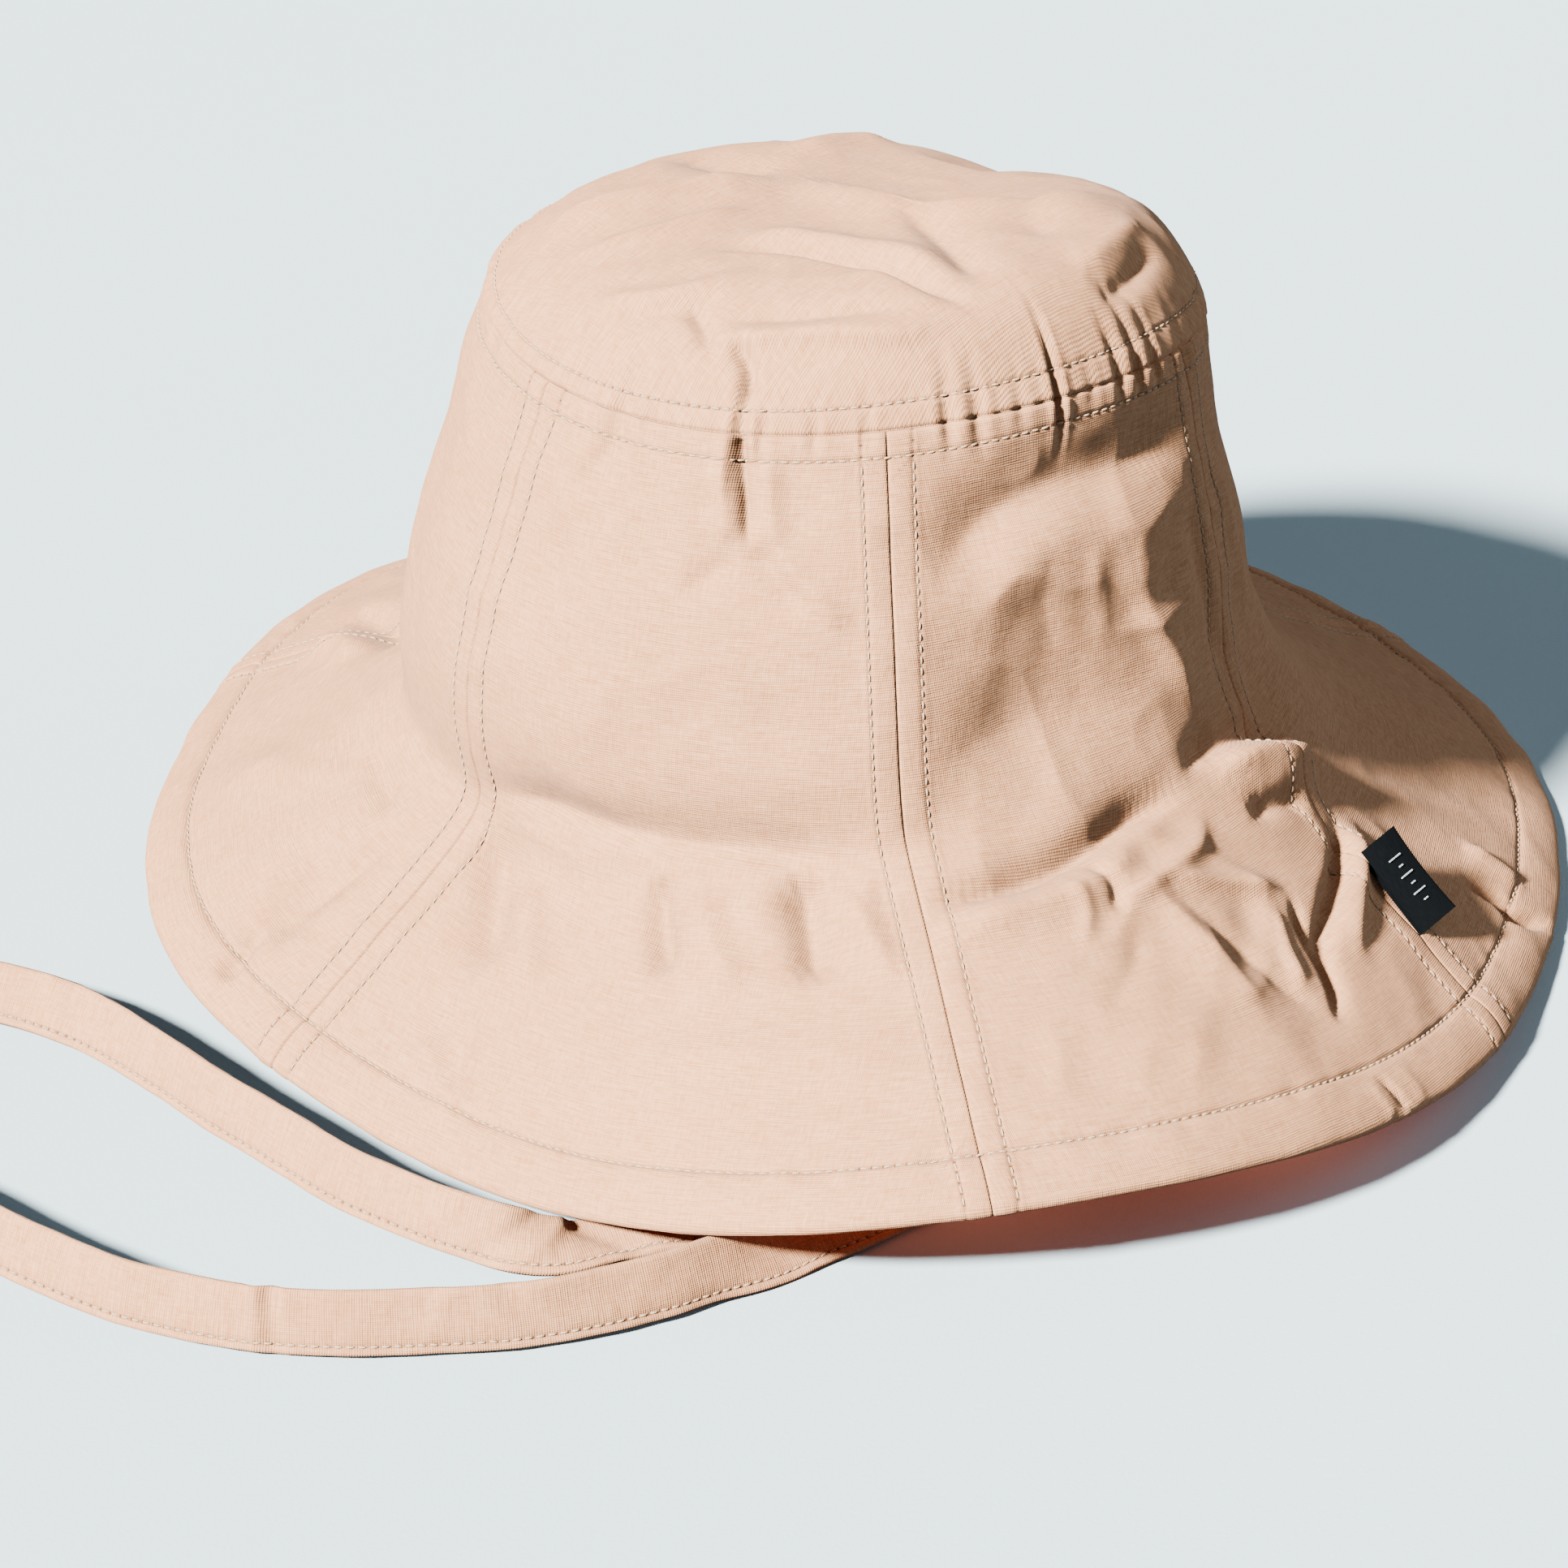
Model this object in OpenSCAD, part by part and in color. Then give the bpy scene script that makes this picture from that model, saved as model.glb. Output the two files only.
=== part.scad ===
// Six-panel bucket sun hat, outer shell and lining, with two chin ties.
// The hat stands on its brim on a table at z = 0. +Z is up and the front is at -Y.
// Azimuths are in degrees: 0 is the front (-Y) and 90 is +X. Left and right are as seen
// from the front, so left is -X.

/* [Crown] */
// Mean radius of the crown seam
crown_r = 78.4; // [76:0.2:80]
// Mean height of the crown seam above the table
crown_h = 149.6; // [146:0.2:152]
// Rise of the tip's middle above the crown seam
tip_rise = 24; // [18:1:25]

/* [Wall and brim] */
// Mean radius of the brim's edge
brim_r = 172.5; // [166:0.5:174]
// Mean height of the brim's edge
brim_h = 8.6; // [8.6:0.1:9.5]
// Slope of the brim at its edge, in degrees
brim_slope = 31.3; // [30:0.1:33]
// Reach of the wall's upper curve
wall_reach = 122; // [118:1:124]
// Reach of the brim's lower curve
brim_reach = 145.5; // [142:0.5:148]
// Outward slope of the wall just below the crown seam
wall_flare = 0.37; // [0.36:0.01:0.4]

/* [Cloth] */
// Thickness of the outer cloth
cloth_t = 1; // [0.8:0.1:1.2]
// Gap between cloth layers
layer_gap = 0.4; // [0.3:0.1:0.5]
// Gap between neighbouring panels, in degrees
seam_gap = 0.2; // [0.2:0.05:0.3]
// Width of the turned hem at the brim's edge
hem_w = 12; // [10:0.5:14]

/* [Stitching] */
// Distance of each topstitch row from its seam
row_offset = 5.5; // [4:0.5:7]
// Thread diameter
thread_d = 0.7; // [0.5:0.1:0.8]

/* [Sweatband and label] */
// Thickness of the sweatband
band_t = 1; // [0.8:0.1:1.2]
// Length of the woven label along its seam
label_len = 23; // [18:1:26]
// Height of the folded label
label_w = 11; // [8:1:14]

/* [Ties] */
// Width of a chin tie
tie_w = 14; // [10:1:15]
// Thickness of a chin tie
tie_t = 1.6; // [1.2:0.1:2]

/* [Hidden] */

panels = 6;
// Azimuth of seam 1 at the crown, and each seam's extra turn by the time it reaches the edge
first_seam = 6;
seam_turn = [3.5, -6.5, 0, 0, 0, 0.5];
// Middle of the crown and of the brim, which put the brim's box around the origin
crown_mid = [-4.45, -0.15];
brim_mid = [-4.3, 3.35];
// Waves of the crown seam, the wall's upper curve, the edge and the brim's lower curve: pairs of cosine and sine parts for one
// wave around, then two, and so on
crown_height_waves = [[5.8, -2.5], [-1.7, 4]];
crown_radius_waves = [[0, 0], [-2.8, -0.4]];
wall_reach_waves = [[0, -26.5], [-2, 4]];
wall_flare_waves = [[0.016, -0.043], [0.071, -0.01]];
edge_height_waves = [[5.6, 0], [3.1, 4], [3.3, 4.3], [1, 1.2], [1, 1.4]];
edge_radius_waves = [[-2.5, 5.5], [3, 3.5], [4, 1.5], [0.5, 2.5], [1.5, 0], [0.5, -1]];
brim_reach_waves = [[-17, -0.6], [2.7, 0], [1, -0.5]];
brim_slope_waves = [[6.5, -0.4], [-3.3, 0], [-2, -0.5], [-1, -1]];
// Exponent of the tip's dome: high values make a flat top with soft edges. The dome also
// rises towards the front and +X.
tip_shape = 6.5;
tip_lean = [3, 10];
// Part of a length along the tip, near its seam, that runs across and not up
tip_steepness = 0.55;
tip_inset = 1.4;

// Positions down the wall, from 0 at the crown seam to 1 at the brim's edge
curve_speed = 3 * brim_reach;
hem_s = 1 - hem_w / curve_speed;
hem_step = 0.004;
panel_top_s = 0.0015;
lining_top_s = 0.01;
lining_end_s = hem_s - 2 * hem_step;
band_top_s = 0.26;
band_low_s = 0.46;
row_top_s = row_offset / (3 * wall_reach);
row_gap_s = 0.004;
rings = 18;
ring_bias = 0.7;
panel_steps = 10;

lining_depth = cloth_t + layer_gap;
hem_t = lining_depth + cloth_t;
band_depth = hem_t + layer_gap;
bartack_depth = band_depth + band_t + layer_gap;
thread_lift = -0.45;
thread_sides = 6;
outer_colour = [0.86, 0.68, 0.58];
lining_colour = [0.88, 0.72, 0.63];
thread_colour = [0.93, 0.82, 0.72];

// Outward direction, waves around the hat and the two driving rings
function around(a) = [sin(a), -cos(a), 0];
function waves(a, parts) = [for (k = [0 : len(parts) - 1]) parts[k][0] * cos((k + 1) * a)
                                                          + parts[k][1] * sin((k + 1) * a)];
function total(v, i = 0) = i < len(v) ? v[i] + total(v, i + 1) : 0;
function wave(a, parts) = total(waves(a, parts));
function seam_point(a) = (crown_r + wave(a, crown_radius_waves)) * around(a)
    + [crown_mid[0], crown_mid[1], crown_h + wave(a, crown_height_waves)];
function edge_radius(a) = brim_r + wave(a, edge_radius_waves);
function edge_height(a) = brim_h + wave(a, edge_height_waves);
function edge_point(a) = edge_radius(a) * around(a) + [brim_mid[0], brim_mid[1], edge_height(a)];

// A point of the outer cloth's face: a cubic curve from the crown seam to the brim's edge
function wall_handle(a) = (wall_reach + wave(a, wall_reach_waves))
    * ((wall_flare + wave(a, wall_flare_waves)) * around(a) - [0, 0, 1]);
function brim_handle(a) = (brim_reach + wave(a, brim_reach_waves))
    * (sin(brim_slope + wave(a, brim_slope_waves)) * [0, 0, 1]
       - cos(brim_slope + wave(a, brim_slope_waves)) * around(a));
function blend(s, p, q, r, t) = pow(1 - s, 3) * p + 3 * pow(1 - s, 2) * s * q
    + 3 * (1 - s) * s * s * r + pow(s, 3) * t;
function face(a, s) = blend(s, seam_point(a), seam_point(a) + wall_handle(a),
                            edge_point(a) + brim_handle(a), edge_point(a));
function unit(v) = v / norm(v);
function outward(a, s) = unit(cross(face(a, min(s + 0.002, 1)) - face(a, max(s - 0.002, 0)),
                                    face(a + 0.2, s) - face(a - 0.2, s)));
function cloth(a, s, depth) = face(a, s) - depth * outward(a, s);

// Azimuth of a seam, and of a share u of the way from one seam to the next
function seam_azimuth(i, s) = first_seam + (i - 1) * 360 / panels
    + seam_turn[(i - 1) % panels] * s * s;
function panel_azimuth(i, u, s) = seam_azimuth(i, s) * (1 - u) + seam_azimuth(i + 1, s) * u
    + (1 - 2 * u) * seam_gap;
function spread(v) = v < 0.5 ? 0.5 - 0.5 * pow(1 - 2 * v, ring_bias)
                             : 0.5 + 0.5 * pow(2 * v - 1, ring_bias);
function rows_between(low, high, count) = [for (k = [0 : count])
    low + (high - low) * spread(k / count)];

// Tip: a soft dome over the crown seam
function tip_point(a, q, depth) =
    let (ring = seam_point(a) - tip_inset * around(a), mid = [crown_mid[0], crown_mid[1], crown_h])
    mid + q * (ring - mid)
        + [0, 0, (1 - pow(q, tip_shape)) * (tip_rise + pow(q, 2) * wave(a, [tip_lean])) - depth];

// Closed shell between two grids of points that share their edges
module shell(top, bottom) {
    n = len(top);
    m = len(top[0]);
    points = [for (grid = [bottom, top]) for (line = grid) for (p = line) p];
    function at(g, i, j) = g * n * m + i * m + j;
    skin = [for (i = [0 : n - 2]) for (j = [0 : m - 2]) for (f = [
        [at(0, i, j), at(0, i + 1, j), at(0, i + 1, j + 1)],
        [at(0, i, j), at(0, i + 1, j + 1), at(0, i, j + 1)],
        [at(1, i, j), at(1, i + 1, j + 1), at(1, i + 1, j)],
        [at(1, i, j), at(1, i, j + 1), at(1, i + 1, j + 1)]]) f];
    ends = [for (j = [0 : m - 2]) for (f = [
        [at(0, 0, j), at(0, 0, j + 1), at(1, 0, j + 1)],
        [at(0, 0, j), at(1, 0, j + 1), at(1, 0, j)],
        [at(0, n - 1, j + 1), at(0, n - 1, j), at(1, n - 1, j)],
        [at(0, n - 1, j + 1), at(1, n - 1, j), at(1, n - 1, j + 1)]]) f];
    sides = [for (i = [0 : n - 2]) for (f = [
        [at(0, i + 1, 0), at(0, i, 0), at(1, i, 0)],
        [at(0, i + 1, 0), at(1, i, 0), at(1, i + 1, 0)],
        [at(0, i, m - 1), at(0, i + 1, m - 1), at(1, i + 1, m - 1)],
        [at(0, i, m - 1), at(1, i + 1, m - 1), at(1, i, m - 1)]]) f];
    polyhedron(points, concat(skin, ends, sides), convexity = 6);
}

// Tube along a line of points, closed on itself when ring is true
module tube(line, across, ring) {
    n = len(line);
    sides = len(across[0]);
    points = [for (i = [0 : n - 1]) for (p = across[i]) line[i] + p];
    spans = ring ? n - 1 : n - 2;
    skin = [for (i = [0 : spans]) for (k = [0 : sides - 1])
        let (a = i * sides, b = ((i + 1) % n) * sides, l = (k + 1) % sides)
        for (f = [[a + k, b + k, b + l], [a + k, b + l, a + l]]) f];
    caps = ring ? [] : [[for (k = [0 : sides - 1]) k],
                        [for (k = [sides - 1 : -1 : 0]) (n - 1) * sides + k]];
    polyhedron(points, concat(skin, caps), convexity = 8);
}

// Direction along a line of points, and a section across it with the given half sizes. The
// section's wide way stands up when lean is 0 and lies flat when it is 90.
function along(line, i, ring) = let (n = len(line))
    unit(ring ? line[(i + 1) % n] - line[(i + n - 1) % n]
              : line[min(i + 1, n - 1)] - line[max(i - 1, 0)]);
function section(dir, half_t, half_w, sides, lean) =
    let (side = unit(cross(dir, [0, 0, 1])), rise = cross(side, dir),
         wide = cos(lean) * rise + sin(lean) * side, thin = cos(lean) * side - sin(lean) * rise)
    [for (k = [0 : sides - 1]) let (c = -360 * (k + 0.5) / sides)
        (half_t * cos(c) * thin + half_w * sin(c) * wide) / cos(180 / sides)];

module thread(line, ring) {
    radius = thread_d / 2;
    across = [for (i = [0 : len(line) - 1])
        section(along(line, i, ring), radius, radius, thread_sides, 0)];
    color(thread_colour) tube(line, across, ring);
}

module tip_layer(depth, colour) {
    steps = 60;
    dome = [0.3, 0.52, 0.7, 0.82, 0.9, 0.96, 1];
    rows = len(dome);
    levels = [depth, depth + cloth_t];
    ring_points = [for (d = levels) for (q = dome) for (i = [0 : steps - 1])
        tip_point(360 * i / steps, q, d)];
    points = concat(ring_points, [for (d = levels) tip_point(0, 0, d)]);
    mids = 2 * rows * steps;
    function at(g, r, i) = (g * rows + r) * steps + i % steps;
    skin = [for (r = [0 : rows - 2]) for (i = [0 : steps - 1]) for (f = [
        [at(0, r, i), at(0, r, i + 1), at(0, r + 1, i + 1)],
        [at(0, r, i), at(0, r + 1, i + 1), at(0, r + 1, i)],
        [at(1, r, i), at(1, r + 1, i + 1), at(1, r, i + 1)],
        [at(1, r, i), at(1, r + 1, i), at(1, r + 1, i + 1)]]) f];
    middle = [for (i = [0 : steps - 1]) for (f = [
        [mids, at(0, 0, i + 1), at(0, 0, i)],
        [mids + 1, at(1, 0, i), at(1, 0, i + 1)]]) f];
    edge = [for (i = [0 : steps - 1]) for (f = [
        [at(0, rows - 1, i), at(0, rows - 1, i + 1), at(1, rows - 1, i + 1)],
        [at(0, rows - 1, i), at(1, rows - 1, i + 1), at(1, rows - 1, i)]]) f];
    color(colour) polyhedron(points, concat(skin, middle, edge), convexity = 4);
}

module crown_tip() {
    tip_layer(0, outer_colour);
}

module lining_tip() {
    tip_layer(lining_depth, lining_colour);
}

// Grid of points over panel i, for pairs of a position down the wall and a depth
function panel_grid(i, stations) = [for (st = stations) [for (k = [0 : panel_steps])
    cloth(panel_azimuth(i, k / panel_steps, st[0]), st[0], st[1])]];

module outer_panel(i) {
    places = rows_between(panel_top_s, hem_s - hem_step, rings);
    top = concat([for (s = places) [s, 0]], [[hem_s, 0], [1, 0]]);
    bottom = concat([for (s = places) [s, cloth_t]], [[hem_s, hem_t], [1, hem_t]]);
    color(outer_colour) shell(panel_grid(i, top), panel_grid(i, bottom));
}

module lining_panel(i) {
    places = rows_between(lining_top_s, lining_end_s, rings);
    top = [for (s = places) [s, lining_depth]];
    bottom = [for (s = places) [s, hem_t]];
    color(lining_colour) shell(panel_grid(i, top), panel_grid(i, bottom));
}

// A flat strip that follows the wall, between two azimuths, two positions and two depths
module strip(a_from, a_to, s_from, s_to, depth, thick, steps, bands) {
    grid = [for (d = [depth, depth + thick]) [for (j = [0 : bands]) [for (k = [0 : steps])
        cloth(a_from + (a_to - a_from) * k / steps, s_from + (s_to - s_from) * j / bands, d)]]];
    shell(grid[0], grid[1]);
}

module sweatband() {
    back_seam = 187;
    color([0.9, 0.78, 0.7])
        strip(back_seam, back_seam + 359, band_top_s, band_low_s, band_depth, band_t, 60, 3);
}

module crown_topstitch_upper() {
    steps = 72;
    share = 1 - tip_steepness * row_offset / crown_r;
    thread([for (i = [0 : steps - 1]) tip_point(360 * i / steps, share, -0.85)], true);
}

module crown_topstitch_lower() {
    steps = 72;
    thread([for (i = [0 : steps - 1]) cloth(360 * i / steps, row_top_s, thread_lift)], true);
}

module hem_topstitch() {
    steps = 96;
    thread([for (i = [0 : steps - 1]) cloth(360 * i / steps, hem_s, thread_lift)], true);
}

// Two rows of thread, one on each side of seam i, broken where the hem's row crosses them
module seam_topstitch(i) {
    for (side = [-1, 1]) for (stretch = [[row_top_s + row_gap_s, hem_s - row_gap_s, 16],
                                         [hem_s + row_gap_s, 0.999, 1]])
        thread([for (s = rows_between(stretch[0], stretch[1], stretch[2]))
            let (a = seam_azimuth(i, s), reach = norm(face(a, s) - [crown_mid[0], crown_mid[1],
                                                                   face(a, s)[2]]))
            cloth(a + side * row_offset / reach * 180 / PI, s, thread_lift)], false);
}

// Folded label in seam 2, on the brim, that stands a little off the cloth
label_seam = 2;
label_s = 0.885;
label_speed = 0.56 * curve_speed;
label_lift = -1.9;
label_t = 0.8;
module woven_label() {
    half_s = label_len / 2 / label_speed;
    start = seam_azimuth(label_seam, label_s) + 1;
    turn = label_w / norm(face(start, label_s) - [crown_mid[0], crown_mid[1], 0]) * 180 / PI;
    color([0.03, 0.03, 0.03]) strip(start, start + turn, label_s - half_s, label_s + half_s,
                                    label_lift, label_t, 3, 3);
}

// Dense stitching that holds the end of a tie on the sweatband, left at -1 and right at 1
bartack_l = 12;
bartack_t = 1;
bartack_s = [0.4, 0.45];
bartack_turn = bartack_l / 94 * 180 / PI;
module bartack(side) {
    middle = side * 90;
    color(thread_colour) strip(middle - bartack_turn / 2, middle + bartack_turn / 2,
                               bartack_s[0], bartack_s[1], bartack_depth, bartack_t, 2, 1);
}

// Routes of the ties' middle lines, from the bartack down to the table and out under the
// brim. The fourth number is the lean: 0 where the tie stands on its edge, 90 where it lies.
tie_left_route = [[-97, 1, 54.4, 0], [-97, -2, 46, 0], [-97, -7, 36, 0], [-96, -17, 26, 0],
                  [-94, -30, 16, 0], [-89, -46, 9.5, 10], [-79, -63, 8, 20],
                  [-64, -79, 8, 20], [-46, -92, 8, 20], [-28, -99, 8, 15],
                  [-12, -103, 8, 10], [0, -110, 8, 0], [5, -122, 8, 0], [-1, -134, 7.8, 10],
                  [-14, -142, 6.4, 40], [-28, -147, 3.8, 70], [-42, -150, 1.6, 84],
                  [-54, -154, 1.6, 84], [-65, -159, 3.8, 62], [-76, -160, 6.4, 38],
                  [-87, -156, 7.4, 25], [-99, -149, 7.4, 25], [-113, -139, 7.4, 25],
                  [-129, -124, 7.4, 25], [-144, -110, 7.4, 25], [-158, -96, 7.4, 25],
                  [-171, -83, 7, 30], [-184, -73, 6.2, 40], [-198, -66, 5.8, 45],
                  [-213, -61, 5.8, 45], [-229, -58, 5.8, 45]];
tie_right_route = [[82, 1, 71.8, 0], [82, 0, 63, 0], [83, -4, 52, 0], [84, -11, 40, 0],
                   [85, -21, 28, 0], [86, -34, 17, 0], [84, -49, 9.5, 10], [78, -66, 8, 15],
                   [69, -83, 8, 20], [58, -99, 8, 25], [45, -114, 8, 25],
                   [32, -126, 7.4, 30], [19, -135, 6, 45], [7, -143, 4.4, 62],
                   [-3, -150, 2.8, 76], [-12, -156, 2.8, 74], [-21, -164, 5, 52],
                   [-31, -171, 7, 30], [-41, -177, 7.4, 25], [-55, -183, 7.4, 25],
                   [-71, -188, 7.4, 25], [-88, -190, 7.4, 25], [-106, -191, 7.4, 25],
                   [-123, -190, 7.4, 25], [-140, -186, 7.4, 25], [-156, -180, 7.4, 25],
                   [-171, -171, 7.4, 25], [-185, -161, 7.4, 25], [-199, -150, 7.4, 25],
                   [-214, -140, 7.4, 25], [-230, -133, 7.4, 25]];
tie_sides = 8;

module tie(route) {
    line = [for (p = route) [p[0], p[1], p[2]]];
    across = [for (i = [0 : len(route) - 1])
        section(along(line, i, false), tie_t / 2, tie_w / 2, tie_sides, route[i][3])];
    color(outer_colour) tube(line, across, false);
}

module tie_left() {
    tie(tie_left_route);
}

module tie_right() {
    tie(tie_right_route);
}

crown_tip();
outer_panel(1);  // outer_panel_1
outer_panel(2);  // outer_panel_2
outer_panel(3);  // outer_panel_3
outer_panel(4);  // outer_panel_4
outer_panel(5);  // outer_panel_5
outer_panel(6);  // outer_panel_6
lining_tip();
lining_panel(1);  // lining_panel_1
lining_panel(2);  // lining_panel_2
lining_panel(3);  // lining_panel_3
lining_panel(4);  // lining_panel_4
lining_panel(5);  // lining_panel_5
lining_panel(6);  // lining_panel_6
sweatband();
crown_topstitch_upper();
crown_topstitch_lower();
seam_topstitch(1);  // seam_topstitch_1
seam_topstitch(2);  // seam_topstitch_2
seam_topstitch(3);  // seam_topstitch_3
seam_topstitch(4);  // seam_topstitch_4
seam_topstitch(5);  // seam_topstitch_5
seam_topstitch(6);  // seam_topstitch_6
hem_topstitch();
woven_label();
bartack(-1);  // bartack_left
bartack(1);  // bartack_right
tie_left();
tie_right();
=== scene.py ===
"""Looks of a soft six-panel bucket sun hat with two chin ties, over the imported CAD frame.

Lengths are in metres. Names that end in _MM, and the tables of waves, folds, lumps, pleats
and creases, are in millimetres. Azimuths are in degrees: 0 is the front (-Y) and 90 is +X. A
place on the hat's wall and brim is an azimuth and a share t of the way down the cloth, from 0
at the crown seam to 1 at the edge. A place on the tip is an azimuth and a share q of the way
from its middle to the crown seam.
"""
import math

import bpy
import numpy as np
from mathutils import Euler, Matrix, Vector


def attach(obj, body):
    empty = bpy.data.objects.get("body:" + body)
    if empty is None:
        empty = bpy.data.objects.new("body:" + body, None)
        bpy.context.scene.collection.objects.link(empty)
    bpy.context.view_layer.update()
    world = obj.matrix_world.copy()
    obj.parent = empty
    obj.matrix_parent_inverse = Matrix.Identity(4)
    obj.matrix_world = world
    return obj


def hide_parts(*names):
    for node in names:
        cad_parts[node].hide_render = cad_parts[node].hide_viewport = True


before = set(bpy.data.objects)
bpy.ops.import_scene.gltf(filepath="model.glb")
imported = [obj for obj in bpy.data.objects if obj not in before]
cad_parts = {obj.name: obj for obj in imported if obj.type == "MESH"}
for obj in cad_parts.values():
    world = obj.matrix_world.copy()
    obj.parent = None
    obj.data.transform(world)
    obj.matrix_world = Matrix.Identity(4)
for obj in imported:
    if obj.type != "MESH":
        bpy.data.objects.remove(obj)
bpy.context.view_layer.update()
MM = 0.001
UP = np.array([0.0, 0.0, 1.0])

# ---------------------------------------------------------------- camera

CAMERA_PLACE = (-0.0177, -0.9537, 0.5954)
CAMERA_PITCH = 31.0
CAMERA_ROLL = 0.30
CAMERA_LENS = 106.96
CAMERA_SENSOR = 36.0


def make_camera():
    data = bpy.data.cameras.new("camera")
    data.lens = CAMERA_LENS
    data.sensor_width = CAMERA_SENSOR
    data.clip_end = 20
    camera = bpy.data.objects.new("camera", data)
    down = Euler((math.radians(90 - CAMERA_PITCH), 0, 0)).to_matrix()
    roll = Matrix.Rotation(math.radians(CAMERA_ROLL), 3, "Z")
    camera.rotation_euler = (down @ roll).to_euler()
    camera.location = CAMERA_PLACE
    bpy.context.scene.collection.objects.link(camera)
    bpy.context.scene.camera = camera


make_camera()

# ---------------------------------------------------------------- mesh helpers


def unit(v):
    return v / np.maximum(np.linalg.norm(v, axis=-1, keepdims=True), 1e-12)


def soft_step(x):
    x = np.clip(x, 0, 1)
    return x * x * (3 - 2 * x)


def make_piece(name, points, face_sets, maps, material, replaced=()):
    """A smooth mesh piece from points, arrays of faces and UV maps with a value per point."""
    mesh = bpy.data.meshes.new(name)
    points = np.asarray(points, float).reshape(-1, 3)
    loops = np.concatenate([faces.reshape(-1) for faces in face_sets]).astype(np.int32)
    sizes = np.concatenate([np.full(len(faces), faces.shape[1]) for faces in face_sets])
    starts = (np.cumsum(sizes) - sizes).astype(np.int32)
    mesh.vertices.add(len(points))
    mesh.vertices.foreach_set("co", points.reshape(-1))
    mesh.loops.add(len(loops))
    mesh.loops.foreach_set("vertex_index", loops)
    mesh.polygons.add(len(sizes))
    mesh.polygons.foreach_set("loop_start", starts)
    mesh.polygons.foreach_set("use_smooth", np.ones(len(sizes), bool))
    for label, values in maps.items():
        layer = mesh.uv_layers.new(name=label)
        layer.data.foreach_set("uv", np.asarray(values, float).reshape(-1, 2)[loops].reshape(-1))
    mesh.update(calc_edges=True)
    mesh.validate()
    mesh.materials.append(material)
    piece = bpy.data.objects.new(name, mesh)
    bpy.context.scene.collection.objects.link(piece)
    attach(piece, "root")
    if replaced:
        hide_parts(*replaced)
    return piece


def grid_faces(rows, columns, ring=False, start=0):
    """Quads over a grid of points stored row by row. A ring's last column joins its first."""
    across = np.arange(columns if ring else columns - 1)
    j, k = np.meshgrid(np.arange(rows - 1), across, indexing="ij")
    after = (k + 1) % columns
    quads = [j * columns + k, (j + 1) * columns + k, (j + 1) * columns + after,
             j * columns + after]
    return start + np.stack(quads, -1).reshape(-1, 4)


# ---------------------------------------------------------------- the hat's surface

CROWN_R = 0.0784
CROWN_H = 0.1496
TIP_RISE = 0.024
TIP_SHAPE = 6.5
TIP_LEAN = (0.003, 0.010)
TIP_INSET = 0.0001
BRIM_R = 0.1725
BRIM_H = 0.0086
BRIM_SLOPE = 31.3
BRIM_REACH = 0.1455
WALL_REACH = 0.122
WALL_FLARE = 0.37
CROWN_MID = np.array([-0.00445, -0.00015])
BRIM_MID = np.array([-0.0043, 0.00335])
CROWN_HEIGHT_WAVES = ((5.8, -2.5), (-1.7, 4))
CROWN_RADIUS_WAVES = ((0, 0), (-2.8, -0.4))
WALL_REACH_WAVES = ((0, -26.5), (-2, 4))
WALL_FLARE_WAVES = ((0.016, -0.043), (0.071, -0.01))
EDGE_HEIGHT_WAVES = ((5.6, 0), (3.1, 4), (3.3, 4.3), (1, 1.2), (1, 1.4))
EDGE_RADIUS_WAVES = ((-2.5, 5.5), (3, 3.5), (4, 1.5), (0.5, 2.5), (1.5, 0), (0.5, -1))
BRIM_REACH_WAVES = ((-17, -0.6), (2.7, 0), (1, -0.5))
BRIM_SLOPE_WAVES = ((6.5, -0.4), (-3.3, 0), (-2, -0.5), (-1, -1))
PANELS = 6
FIRST_SEAM = 6.0
SEAM_TURN = (3.5, -6.5, 0, 0, 0, 0.5)
CLOTH_T = 0.0009
LINING_DEPTH = 0.0015
HEM_W = 0.012
HEM_T = 0.0026
ROW_OFFSET = 0.0055
STITCH_PITCH = 0.00245


def wave(a, parts):
    angle = np.radians(a)
    return sum(c * np.cos((k + 1) * angle) + s * np.sin((k + 1) * angle)
               for k, (c, s) in enumerate(parts))


def around(a):
    angle = np.radians(a)
    return np.stack([np.sin(angle), -np.cos(angle), np.zeros_like(angle)], -1)


def ring_point(a, middle, radius, height):
    base = np.stack([middle[0] + 0 * a, middle[1] + 0 * a, height], -1)
    return base + radius[..., None] * around(a)


def seam_point(a):
    radius = CROWN_R + MM * wave(a, CROWN_RADIUS_WAVES)
    return ring_point(a, CROWN_MID, radius, CROWN_H + MM * wave(a, CROWN_HEIGHT_WAVES))


def edge_point(a):
    radius = BRIM_R + MM * wave(a, EDGE_RADIUS_WAVES)
    return ring_point(a, BRIM_MID, radius, BRIM_H + MM * wave(a, EDGE_HEIGHT_WAVES))


def face(a, s):
    """The smooth outer face, the same cubic curves as the CAD model's."""
    s = s[..., None]
    out = around(a)
    top = seam_point(a)
    low = edge_point(a)
    flare = (WALL_FLARE + wave(a, WALL_FLARE_WAVES))[..., None]
    reach = (WALL_REACH + MM * wave(a, WALL_REACH_WAVES))[..., None]
    slope = np.radians(BRIM_SLOPE + wave(a, BRIM_SLOPE_WAVES))[..., None]
    brim = (BRIM_REACH + MM * wave(a, BRIM_REACH_WAVES))[..., None]
    upper = top + reach * (flare * out - UP)
    lower = low + brim * (np.sin(slope) * UP - np.cos(slope) * out)
    return ((1 - s) ** 3 * top + 3 * (1 - s) ** 2 * s * upper
            + 3 * (1 - s) * s * s * lower + s ** 3 * low)


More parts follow.
